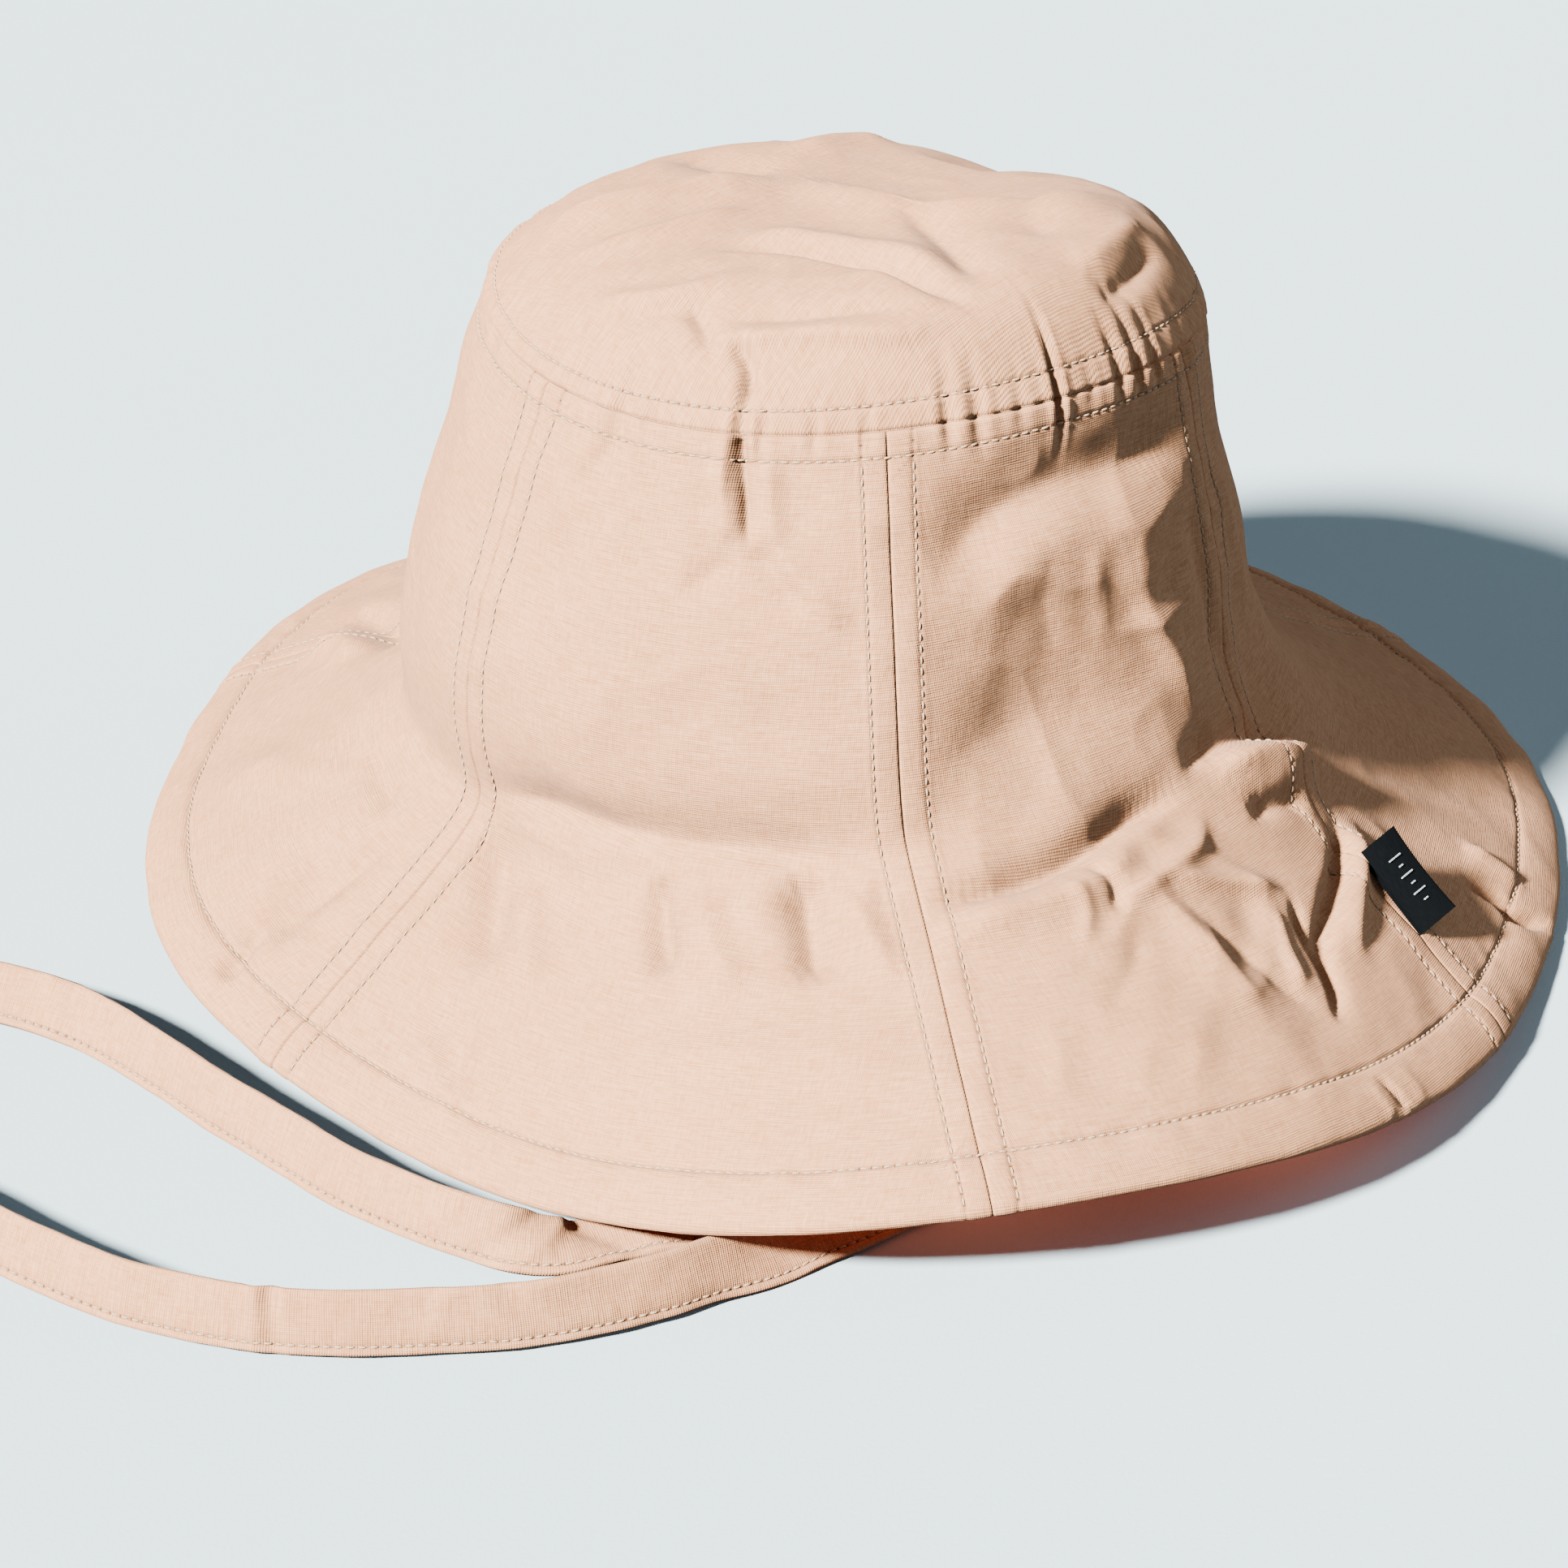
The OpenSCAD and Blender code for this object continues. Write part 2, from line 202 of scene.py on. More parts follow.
# Small steps over which the surface's direction is measured
STEP_S = 0.002
STEP_A = 0.2
TIP_STEP_Q = 0.004
TIP_STEP_A = 0.4
# Table of curve positions s for azimuths and shares t of the length down the cloth
TABLE_STEP = 2.0
TABLE_A = np.arange(0, 360, TABLE_STEP)
TABLE_N = 200


def make_table():
    s = np.linspace(0, 1, TABLE_N + 1)
    grid_a, grid_s = np.meshgrid(TABLE_A, s, indexing="ij")
    lengths = np.linalg.norm(np.diff(face(grid_a, grid_s), axis=1), axis=-1)
    lengths = np.concatenate([np.zeros((len(TABLE_A), 1)), np.cumsum(lengths, axis=1)], 1)
    down = [np.interp(s, line / line[-1], s) for line in lengths]
    return np.array(down), lengths[:, -1]


DOWN, SLANT = make_table()


def down(a, t):
    """Curve position s of the places a, t."""
    x = np.mod(a, 360) / TABLE_STEP
    y = np.clip(t, 0, 1) * TABLE_N
    i = np.floor(x).astype(int) % len(TABLE_A)
    j = np.minimum(y.astype(int), TABLE_N - 1)
    fx = x - np.floor(x)
    fy = y - j
    after = (i + 1) % len(TABLE_A)
    near = DOWN[i, j] * (1 - fy) + DOWN[i, j + 1] * fy
    far = DOWN[after, j] * (1 - fy) + DOWN[after, j + 1] * fy
    return near * (1 - fx) + far * fx


def slant(a):
    return np.interp(np.mod(a, 360), np.append(TABLE_A, 360), np.append(SLANT, SLANT[0]))


def skin(a, t):
    """Point and outward direction of the smooth face at the places a, t."""
    a, t = np.broadcast_arrays(np.asarray(a, float), np.asarray(t, float))
    s = down(a, t)
    along = face(a, np.minimum(s + STEP_S, 1)) - face(a, np.maximum(s - STEP_S, 0))
    side = face(a + STEP_A, s) - face(a - STEP_A, s)
    return face(a, s), unit(np.cross(along, side))


def seam_line(i, t):
    """Azimuth of seam i, counted from 0, at shares t down the cloth."""
    base = FIRST_SEAM + i * 360 / PANELS
    return base + SEAM_TURN[i % PANELS] * down(np.full_like(t, base), t) ** 2


def reach_of(points):
    """Level distance of points from the crown's axis."""
    return np.hypot(points[..., 0] - CROWN_MID[0], points[..., 1] - CROWN_MID[1])


def tip_smooth(a, q):
    """The tip's dome at azimuth a and share q of the way from its middle to its seam."""
    middle = np.array([CROWN_MID[0], CROWN_MID[1], CROWN_H])
    ring = seam_point(a) - TIP_INSET * around(a)
    rise = (1 - q ** TIP_SHAPE) * (TIP_RISE + q ** 2 * wave(a, (TIP_LEAN,)))
    return middle + q[..., None] * (ring - middle) + rise[..., None] * UP


def tip_skin(a, q):
    """Point and outward direction of the tip's dome."""
    q = np.maximum(q, TIP_STEP_Q)
    along = tip_smooth(a, np.minimum(q + TIP_STEP_Q, 1)) - tip_smooth(a, q - TIP_STEP_Q)
    side = tip_smooth(a + TIP_STEP_A, q) - tip_smooth(a - TIP_STEP_A, q)
    return tip_smooth(a, q), unit(np.cross(along, side))


# ---------------------------------------------------------------- folds of the cloth

SEED = 7
NOISE_CELLS = 32
CREASE_BEND = 0.35
CREASE_SHARPNESS = 2.6


def noise(points, size, seed):
    """Smooth noise from -1 to 1 with features about size across."""
    cells = np.random.default_rng(SEED + seed).uniform(-1, 1, (NOISE_CELLS,) * 3)
    at = points / size
    low = np.floor(at).astype(int)
    part = soft_step(at - low)
    total = np.zeros(points.shape[:-1])
    for corner in np.ndindex(2, 2, 2):
        index = (low + corner) % NOISE_CELLS
        weight = np.prod(np.where(corner, part, 1 - part), axis=-1)
        total += weight * cells[index[..., 0], index[..., 1], index[..., 2]]
    return total


def creased(points, size, seed):
    """Noise with sharp ridges, as in crumpled cloth, at most 1."""
    bend = np.stack([noise(points, size, seed + k) for k in (1, 2, 3)], -1)
    bent = points + CREASE_BEND * size * bend
    return 1 - CREASE_SHARPNESS * np.abs(noise(bent, size, seed))


def ripple(points, *parts):
    """Sum of smooth noises, each given as its height, its size and its seed."""
    return sum(height * noise(points, size, seed) for height, size, seed in parts)


def bell(x, middle, width):
    """A hump of height 1 at middle, which fades over width."""
    return np.exp(-((x - middle) / width) ** 2)


# Folds of the wall and brim: a line of (azimuth, mm below the crown seam), then the height,
# and the widths on its two sides (first the side to the left of the line's direction, seen
# from outside), all in mm. A negative height is a valley.
WALL_FOLDS = (
    # pleat under the crown seam at the front, and the folds that spring from it
    (((-17.5, -4), (-16.5, 6), (-15.5, 14), (-14, 25)), -2.3, 1.3, 1.3),
    (((-19.5, 3), (-18.5, 14), (-16.5, 24)), 1.6, 3.0, 2.2),
    (((-12.5, 2), (-11.5, 14), (-10, 26)), 1.1, 2.6, 3.0),
    (((-14, 22), (-10, 30), (-5, 39)), -1.0, 2.5, 4.0),
    (((-12, 20), (-8, 28), (-3, 36), (0, 44)), 0.9, 3.0, 2.5),
    (((-15, 24), (-19, 30), (-24, 36)), -0.8, 3.0, 3.0),
    (((-38, 4), (-40, 12), (-43, 20)), -0.9, 3.0, 3.0),
    # pocket under the crown seam at the right, and the bulge below it
    (((10, 40), (15, 28), (23, 21), (33, 18), (44, 19), (55, 19), (64, 16)), -3.8, 9.5, 6.5),
    (((14, 50), (19, 39), (27, 32), (38, 31), (50, 33), (60, 34)), 1.3, 7.5, 12.0),
    (((30, 30), (29, 44), (31, 58)), -0.5, 3.5, 3.5),
    (((38, 30), (37, 44), (39, 60)), 0.5, 3.0, 2.4),
    (((42, 32), (43, 42), (45, 54)), -0.6, 2.6, 2.6),
    (((22, 34), (20, 46), (18, 60)), 0.3, 4.0, 4.0),
    (((43, 29), (43, 41), (46, 54), (50, 70), (53, 84)), 1.9, 6.0, 3.0),
    (((60, 30), (60, 50), (62, 70), (64, 84)), -1.4, 4.0, 4.0),
    (((70, 20), (72, 40), (75, 60), (77, 80)), 1.2, 4.5, 4.0),
    # roll and creases where the wall runs into the brim at the right
    (((48, 99), (55, 95), (63, 102), (71, 114)), 4.4, 5.5, 6.5),
    (((44, 92), (50, 89), (60, 93), (70, 103)), -3.4, 4.0, 3.0),
    (((50, 106), (56, 108), (62, 114)), -2.4, 2.6, 3.0),
    (((7, 104), (17, 102), (26, 99), (35, 95), (45, 94)), -4.4, 4.4, 1.8),
    (((8, 111), (18, 108.5), (27, 105.5), (35, 102)), 2.6, 3.2, 6.0),
    (((45, 100), (41, 106), (34, 109), (28, 113)), 1.8, 2.4, 3.0),
    (((26, 100), (28, 108), (27, 116)), -1.4, 1.8, 2.0),
    (((23, 103), (24, 112), (22, 120)), 0.9, 2.0, 2.4),
    (((32, 108), (33, 116), (35, 131), (36, 150)), 1.3, 3.4, 4.6),
    (((33, 109), (36, 119), (39, 137), (43, 157)), -0.8, 3.0, 2.6),
    (((33, 108), (42, 117), (49, 125)), 1.9, 3.0, 2.2),
    (((49, 125), (47, 134), (46, 145), (43, 157)), -3.0, 2.6, 1.4),
    (((46, 124), (43, 136), (42, 148)), 1.4, 2.6, 2.2),
    (((66, 120), (59, 129), (53, 134), (49, 138), (46, 147)), -3.6, 2.2, 3.0),
    (((68, 124), (61, 133), (54, 140), (50, 148)), 2.0, 2.4, 4.5),
    (((29, 118), (26, 128), (21, 136)), -0.7, 3.0, 3.0),
    # front: shallow folds along the change from wall to brim
    (((-56, 99), (-45, 96), (-31, 94), (-10, 92), (6, 92)), -3.2, 9.0, 2.6),
    (((-50, 104), (-46, 118), (-39, 137)), -3.6, 6.5, 5.5),
    (((-42, 110), (-37, 124), (-31, 138)), 2.4, 5.0, 8.0),
    (((-22.5, 100), (-21, 110), (-18, 124)), -3.6, 4.6, 3.6),
    (((-16, 98), (-14, 112), (-9, 126)), 2.4, 4.5, 7.0),
    (((-6, 93), (-4.5, 106), (-3, 122)), -4.2, 5.6, 4.0),
    (((0.5, 96), (2, 108), (5, 123)), 2.2, 4.0, 4.0),
    (((-20, 142), (-6, 138), (6, 140)), 1.3, 7.0, 4.0),
    (((-67, 130), (-66, 146), (-63, 162)), -3.4, 8.0, 7.0),
    (((-66, 158), (-64.5, 166), (-63.5, 174)), -2.4, 3.0, 2.8),
    (((-43, 154), (-38, 161), (-33, 168)), 1.7, 4.0, 3.4),
    (((-48, 104), (-36, 103), (-28, 106)), 1.0, 3.0, 5.0),
    (((-4, 60), (-14, 62), (-26, 58)), -0.6, 7.0, 7.0),
    (((10, 72), (20, 70), (32, 66)), -0.7, 6.0, 6.0),
    (((-36, 160), (-37, 150), (-38, 142)), 0.7, 3.0, 3.0),
    # left side
    (((-62, 116), (-63, 134), (-65, 154)), -2.2, 5.0, 4.0),
    (((-78, 112), (-74, 116), (-64, 118)), -1.6, 4.0, 4.0),
    (((-104, 124), (-112, 132), (-118, 146), (-122, 160)), -3.4, 6.0, 5.0),
    (((-106, 136), (-111, 146), (-114, 160)), 2.2, 5.0, 5.0),
    (((-76, 128), (-84, 142), (-92, 158)), 1.2, 7.0, 7.0),
    (((-40, 24), (-44, 40), (-47, 60)), -0.7, 5.0, 5.0),
    # tuck at the edge behind the label
    (((74, 156), (75.5, 166), (75, 174), (78, 184)), -3.6, 2.2, 2.0),
    (((79, 154), (79.5, 164), (80, 175)), 1.8, 2.6, 4.0),
    # hem
    (((43, 169), (43.5, 174), (44, 181)), -0.8, 1.0, 1.2),
    (((41.5, 170), (42, 175), (42.5, 181)), 0.4, 1.5, 1.5),
    (((45.5, 170), (46, 175), (46, 181)), 0.3, 1.6, 1.6),
    # back, out of the photograph's sight
    (((150, 4), (152, 18), (149, 34)), -1.8, 2.2, 2.6),
    (((205, 2), (208, 16), (212, 30)), -1.6, 2.4, 2.4),
    (((120, 104), (140, 108), (160, 104), (176, 108)), -2.6, 5.0, 3.4),
    (((190, 106), (208, 103), (226, 108)), -2.2, 5.0, 3.6),
    (((172, 112), (176, 130), (174, 150)), 1.6, 4.0, 4.0),
    (((214, 112), (219, 130), (224, 148)), 1.4, 4.0, 5.0),
    (((136, 114), (133, 132), (128, 150)), 1.5, 4.0, 4.0),
)
# Soft lumps of the wall and brim: azimuth, mm below the crown seam, height, and the widths
# around the hat and down it, in mm
WALL_LUMPS = (
    (92, 84, 5.5, 26, 24),
    (94, 24, -3.4, 30, 20),
    (-92, 30, -2.4, 34, 26),
    (-92, 102, 4.0, 34, 20),
    (58, 106, 2.5, 14, 9),
    (29, 58, -5.0, 26, 30),
    (28, 84, 3.4, 24, 11),
    (8, 58, 2.0, 18, 40),
    (-32, 56, 2.6, 36, 40),
    (-21, 107, 1.6, 7, 6),
    (-10, 105, 1.3, 6, 6),
    (30, 40, 1.6, 16, 14),
    (24, 140, 1.2, 20, 16),
    (-40, 140, 1.0, 22, 16),
    (150, 70, 2.5, 30, 22),
    (210, 66, 2.0, 30, 22),
)
# Pleats across the crown seam: azimuth, depth, half width, and reach above and below, in mm
PLEATS = (
    (-51, 0.4, 2.4, 9, 8), (-38, 1.5, 2.6, 15, 12), (-33, 0.5, 1.8, 10, 6),
    (-17.5, 2.2, 1.5, 15, 12), (-14, 0.5, 1.4, 8, 5), (-5.5, 0.7, 1.3, 9, 5),
    (3, 0.6, 1.3, 8, 4), (16, 1.2, 1.4, 12, 6), (21, 1.1, 1.5, 11, 7), (28.5, 0.6, 1.4, 9, 5),
    (35.5, 2.2, 1.0, 17, 9), (42, 0.5, 1.3, 8, 4), (48, 1.2, 1.3, 12, 6), (52.5, 1.5, 1.2, 13, 6),
    (57, 1.2, 1.2, 12, 6), (66, 0.7, 1.8, 9, 7), (80, 0.9, 2.0, 12, 9), (97, 0.6, 2.2, 9, 8),
    (112, 1.2, 1.8, 12, 10), (131, 0.7, 2.2, 9, 9), (150, 1.6, 1.7, 13, 14), (171, 0.8, 2.0, 10, 8),
    (189, 0.6, 1.8, 9, 8), (205, 1.5, 1.8, 13, 12), (226, 0.9, 2.2, 10, 8), (247, 0.6, 2.4, 9, 8),
    (268, 0.5, 2.4, 9, 8), (288, 0.4, 2.6, 8, 8),
)
# Folds of the tip: a line of (x, y) in mm from the crown's axis, then as for the wall
TIP_FOLDS = (
    (((-33, -25), (-15, -27), (1, -37), (11, -46), (19, -54), (30, -60)), -2.0, 3.6, 2.0),
    (((-30, -20), (-13, -21), (4, -31), (15, -41), (24, -50)), 1.3, 4.0, 4.0),
    (((-36, -56), (-22, -60), (-8, -62), (9, -64), (24, -61)), 1.3, 3.0, 2.4),
    (((-30, -53), (-16, -56), (0, -58), (16, -58)), -1.0, 2.4, 2.4),
    (((-60, -36), (-46, -41), (-34, -43), (-15, -38)), 1.2, 3.5, 5.0),
    (((-54, -43), (-38, -47), (-24, -47)), -0.8, 2.5, 2.5),
    (((-70, 2), (-50, 2), (-28, 8), (-12, 12)), 2.0, 5.0, 9.0),
    (((-64, -18), (-48, -17), (-31, -10), (-18, -4)), 1.0, 2.4, 4.0),
    (((-18, 16), (0, 2), (15, -10), (32, -14), (48, -10), (62, 2)), 2.4, 6.0, 10.0),
    (((10, -6), (18, -22), (24, -40), (30, -55)), -1.9, 5.0, 4.0),
    (((42, -2), (40, -20), (44, -36)), -0.9, 5.0, 5.0),
    (((68, -18), (62, -34), (54, -46)), -1.3, 2.4, 3.4),
    (((64, -12), (57, -28), (49, -42)), 1.0, 3.0, 3.6),
    (((-34, -46), (-31, -54), (-29, -62)), -1.5, 2.0, 2.4),
    (((-24, -58), (-21, -66), (-20, -72)), -1.6, 1.6, 2.0),
    (((-14, 30), (0, 44), (14, 50)), 1.3, 7.0, 5.0),
    (((24, 30), (34, 44), (50, 46)), -2.4, 8.0, 8.0),
    (((-40, 40), (-24, 24), (-10, 26)), -1.6, 7.0, 6.0),
)
FOLD_GAIN = 1.35
TIP_FOLD_GAIN = 1.7
PLEAT_GAIN = 0.85
FOLD_STEP_MM = 1.0
FOLD_POWER = 1.7
FOLD_TAPER = 0.3
FOLD_REACH = 3.2
POINTS_AT_ONCE = 20000
MM_PER_DEGREE = 1.8
PLEAT_LIP = 0.45
PLEAT_LIP_AT = 1.9
PLEAT_FADE = 1.4


def spline(points, step):
    """Smooth line through points, about step apart. Extra numbers after x, y, z go along."""
    points = np.asarray(points, float)
    count = len(points)
    ends = np.concatenate([2 * points[:1] - points[1:2], points, 2 * points[-1:] - points[-2:-1]])
    made = []
    for k in range(count - 1):
        p, q, r, s = ends[k:k + 4]
        size = min(len(q), 3)
        pieces = max(1, int(round(np.linalg.norm((r - q)[:size]) / step)))
        u = (np.arange(pieces) / pieces)[:, None]
        made.append(0.5 * (2 * q + (r - p) * u + (2 * p - 5 * q + 4 * r - s) * u ** 2
                           + (3 * q - p - 3 * r + s) * u ** 3))
    return np.concatenate(made + [points[-1:]])


def fold_height(points, line, normals, height, left, right):
    """Height of one fold at points. line and normals follow the fold on the smooth surface."""
    tangents = unit(np.gradient(line, axis=0))
    sides = unit(np.cross(normals, tangents))
    share = np.linspace(0, 1, len(line))
    taper = soft_step(share / FOLD_TAPER) * soft_step((1 - share) / FOLD_TAPER)
    middle = line.mean(axis=0)
    span = np.linalg.norm(line - middle, axis=1).max() + FOLD_REACH * max(left, right)
    flat = points.reshape(-1, 3)
    heights = np.zeros(len(flat))
    near = np.flatnonzero(np.linalg.norm(flat - middle, axis=1) < span)
    for part in np.array_split(near, max(1, len(near) // POINTS_AT_ONCE)):
        if not len(part):
            continue
        gaps = flat[part][:, None] - line[None]
        best = (gaps ** 2).sum(-1).argmin(axis=1)
        gap = gaps[np.arange(len(part)), best]
        x = (gap * sides[best]).sum(-1)
        y = (gap * tangents[best]).sum(-1)
        wide = np.where(x > 0, left, right)
        profile = np.exp(-np.abs(x / wide) ** FOLD_POWER - (y / max(left, right)) ** 2)
        heights[part] = height * taper[best] * profile
    return heights.reshape(points.shape[:-1])


def wall_lines():
    """The wall's folds as lines in space, made once."""
    made = []
    for places, height, left, right in WALL_FOLDS:
        dense = spline(np.array(places, float) * (MM_PER_DEGREE, 1), FOLD_STEP_MM)
        azimuths = dense[:, 0] / MM_PER_DEGREE
        line, normals = skin(azimuths, dense[:, 1] * MM / slant(azimuths))
        made.append((line, normals, FOLD_GAIN * height * MM, left * MM, right * MM))
    return made


def tip_share(x, y):
    """Azimuth and share q of places given in metres from the crown's axis."""
    a = np.degrees(np.arctan2(x, -y))
    radius = CROWN_R + MM * wave(a, CROWN_RADIUS_WAVES) - TIP_INSET
    return a, np.minimum(np.hypot(x, y) / radius, 1)


def tip_lines():
    """The tip's folds as lines in space, made once."""
    made = []
    for places, height, left, right in TIP_FOLDS:
        dense = spline(places, FOLD_STEP_MM) * MM
        line, normals = tip_skin(*tip_share(dense[:, 0], dense[:, 1]))
        made.append((line, normals, TIP_FOLD_GAIN * height * MM, left * MM, right * MM))
    return made


WALL_LINES = wall_lines()
TIP_LINES = tip_lines()


def turn_between(a, b):
    """Signed turn in degrees from azimuth b to azimuth a."""
    return np.mod(a - b + 180, 360) - 180


def pleat_height(a, gap, above):
    """Height of the pleats at azimuths a and distance gap from the crown seam."""
    total = np.zeros(np.broadcast(a, gap).shape)
    for azimuth, depth, half, up, low in PLEATS:
        x = np.radians(turn_between(a, azimuth)) * CROWN_R / (half * MM)
        reach = (up if above else low) * MM
        shape = bell(x, 0, 1) - PLEAT_LIP * bell(np.abs(x), PLEAT_LIP_AT, 1)
        total -= PLEAT_GAIN * depth * MM * shape * np.exp(-(gap / reach) ** 2 * PLEAT_FADE)
    return total


# Seams and rows: heights, and how far from their middles the dips and puckers reach
SEAM_BAND = 0.0064
SEAM_BAND_EDGE = 0.0008
SEAM_RAISE = 0.0004
SEAM_GROOVE = 0.0005
SEAM_GROOVE_HALF = 0.00025
SEAM_SINK = 0.0002
SEAM_SINK_HALF = 0.0014
CROWN_RAISE = 0.0003
CROWN_GROOVE = 0.0007
CROWN_GROOVE_HALF = 0.00045
ROW_DIP = 0.0004
ROW_DIP_HALF = 0.0006
PUCKER_AT = 0.004
TIP_PUCKER_AT = 0.005
PUCKER_HALF = 0.004
HEM_PUFF = 0.0008
HEM_PUFF_POWER = 0.8
HEM_LUMPS_EDGE = 0.003
HEM_PUCKER_HALF = 0.0042
HEM_DIP = 0.00055
HEM_DIP_HALF = 0.0007
# Unevenness of the cloth as smooth noises: height, size and seed of each
WALL_RIPPLE = ((0.0016, 0.045, 11), (0.0007, 0.02, 12))
WALL_GRAIN = (0.0001, 0.006, 14)
SEAM_PUCKER = (0.00022, 0.0055, 15)
LOWER_PUCKER = (0.0002, 0.004, 16)
TIP_RIPPLE = ((0.0013, 0.04, 21), (0.0006, 0.016, 22))
TIP_GRAIN = (0.0001, 0.006, 24)
UPPER_PUCKER = (0.0003, 0.004, 25)
HEM_LUMPS = (0.0005, 0.012, 31)
HEM_PUCKER = (0.0004, 0.0045, 32)
# Crumple of the wall, which is stronger around one azimuth, and of the tip
CALM_AT_CROWN = 0.02
CALM_AT_EDGE = 0.03
WALL_CRUMPLE = 0.0003
WALL_CRUMPLE_SIZE = 0.016
WALL_CRUMPLE_SEED = 13
MORE_CRUMPLE = 0.00032
MORE_CRUMPLE_AT = 42
MORE_CRUMPLE_TURN = 34
TIP_CRUMPLE = 0.00022
TIP_CRUMPLE_SIZE = 0.013
TIP_CRUMPLE_SEED = 23


def band_height(gap, raise_by):
    """Height of a raised band out to SEAM_BAND from a seam, with the dip of its stitch row."""
    raised = raise_by * soft_step((SEAM_BAND + SEAM_BAND_EDGE - gap) / (2 * SEAM_BAND_EDGE))
    return raised - ROW_DIP * bell(gap, ROW_OFFSET, ROW_DIP_HALF)


def panel_seam_height(gap):
    """Height beside a panel seam at distance gap from it: its band, its sink and its groove."""
    sink = SEAM_SINK * bell(gap, 0, SEAM_SINK_HALF)
    return band_height(gap, SEAM_RAISE) - SEAM_GROOVE * bell(gap, 0, SEAM_GROOVE_HALF) - sink


def crown_seam_height(gap):
    """Height beside the crown seam at distance gap from it: its band and its groove."""
    return band_height(gap, CROWN_RAISE) - CROWN_GROOVE * bell(gap, 0, CROWN_GROOVE_HALF)


def seam_gap(a, t, points):
    """Signed distance to the nearest panel seam."""
    reach = reach_of(points)
    best = np.full(points.shape[:-1], 1.0)
    for i in range(PANELS):
        gap = np.radians(turn_between(a, seam_line(i, t))) * reach
        best = np.where(np.abs(gap) < np.abs(best), gap, best)
    return best


def hem_height(points, rest):
    """Height near the edge at distance rest from it: a puffy band outside a stitched dip."""
    band = HEM_PUFF * np.sin(np.pi * np.clip(rest / HEM_W, 0, 1)) ** HEM_PUFF_POWER
    lumps = ripple(points, HEM_LUMPS) * soft_step((HEM_W - rest) / HEM_LUMPS_EDGE)
    pucker = ripple(points, HEM_PUCKER) * bell(rest, HEM_W, HEM_PUCKER_HALF)
    return band + lumps + pucker - HEM_DIP * bell(rest, HEM_W, HEM_DIP_HALF)


def wall_relief(a, t, points, stitched=True):
    """Height of the cloth over the smooth face at the places a, t, which are points."""
    gap = t * slant(a)
    rest = (1 - t) * slant(a)
    total = pleat_height(a, gap, False)
    for line, normals, height, left, right in WALL_LINES:
        total += fold_height(points, line, normals, height, left, right)
    reach = reach_of(points)
    for azimuth, place, height, across, tall in WALL_LUMPS:
        x = np.radians(turn_between(a, azimuth)) * reach / (across * MM)
        y = (gap - place * MM) / (tall * MM)
        total += height * MM * np.exp(-x ** 2 - y ** 2)
    calm = soft_step(gap / CALM_AT_CROWN) * soft_step(rest / CALM_AT_EDGE)
    near = bell(turn_between(a, MORE_CRUMPLE_AT), 0, MORE_CRUMPLE_TURN)
    crumple = creased(points, WALL_CRUMPLE_SIZE, WALL_CRUMPLE_SEED)
    total += calm * ripple(points, *WALL_RIPPLE)
    total += calm * (WALL_CRUMPLE + MORE_CRUMPLE * near) * crumple
    total += ripple(points, WALL_GRAIN)
    if not stitched:
        return total
    far = np.abs(seam_gap(a, t, points))
    total += panel_seam_height(far)
    total += ripple(points, SEAM_PUCKER) * bell(far, PUCKER_AT, PUCKER_HALF)
    total += crown_seam_height(gap)
    total += ripple(points, LOWER_PUCKER) * bell(gap, PUCKER_AT, PUCKER_HALF)
    return total + hem_height(points, rest)


def tip_relief(a, points, gap, stitched=True):
    """Height of the tip's cloth over its dome, at distance gap from the crown seam."""
    total = pleat_height(a, gap, True)
    for line, normals, height, left, right in TIP_LINES:
        total += fold_height(points, line, normals, height, left, right)
    calm = soft_step(gap / CALM_AT_CROWN)
    crumple = creased(points, TIP_CRUMPLE_SIZE, TIP_CRUMPLE_SEED)
    total += calm * (ripple(points, *TIP_RIPPLE) + TIP_CRUMPLE * crumple)
    total += ripple(points, TIP_GRAIN)
    if not stitched:
        return total
    pucker = ripple(points, UPPER_PUCKER) * bell(gap, TIP_PUCKER_AT, PUCKER_HALF)
    return total + crown_seam_height(gap) + pucker


def wall_cloth(a, t, stitched=True):
    """Point and outward direction of the folded cloth at the places a, t."""
    a, t = np.broadcast_arrays(np.asarray(a, float), np.asarray(t, float))
    points, normals = skin(a, t)
    return points + wall_relief(a, t, points, stitched)[..., None] * normals, normals


# ---------------------------------------------------------------- materials

BLUSH = (0.83, 0.43, 0.225)
# The deep tone is the cloth's own slub tone, and also the colour of its painted shade in fold
# blotches and stitch rows
BLUSH_DEEP = (0.60, 0.255, 0.11)
LINING = (0.82, 0.46, 0.26)
THREAD = (0.90, 0.60, 0.37)
BLACK = (0.0016, 0.0024, 0.003)
MARK = (0.55, 0.60, 0.62)
FLOOR = (0.70, 0.89, 0.98)
WEFT_PITCH = 0.00052
WARP_PITCH = 0.00042
WEFT_SHARE = 0.62
SLUB_SHARE = 0.6
WEFT_STRETCH = (150, 2600, 1)
WARP_STRETCH = (2600, 190, 1)
# How far the threads wander, and at what noise scale; then the scales of specks and of the blotches
# of painted fold shade
WOBBLE = 0.0009
WOBBLE_SCALE = 90.0
SPECK_SCALE = 900.0
SHADE_BLOTCH_SCALE = 28.0
CRUMB_SCALE = 260.0
# Shares of slub, weave and speck in the tone, and the tones that are deep and light cloth; then the
# noise range and depth of the blotches of painted fold shade
SLUB_TONE = 0.9
WEAVE_TONE = 0.06
SPECK_TONE = 0.25
TONE_RANGE = (0.42, 0.73)
CLOTH_LIGHT = 1.06
SHADE_BLOTCH_RANGE = (0.45, 0.75)
SHADE_BLOTCH_DEPTH = 0.22
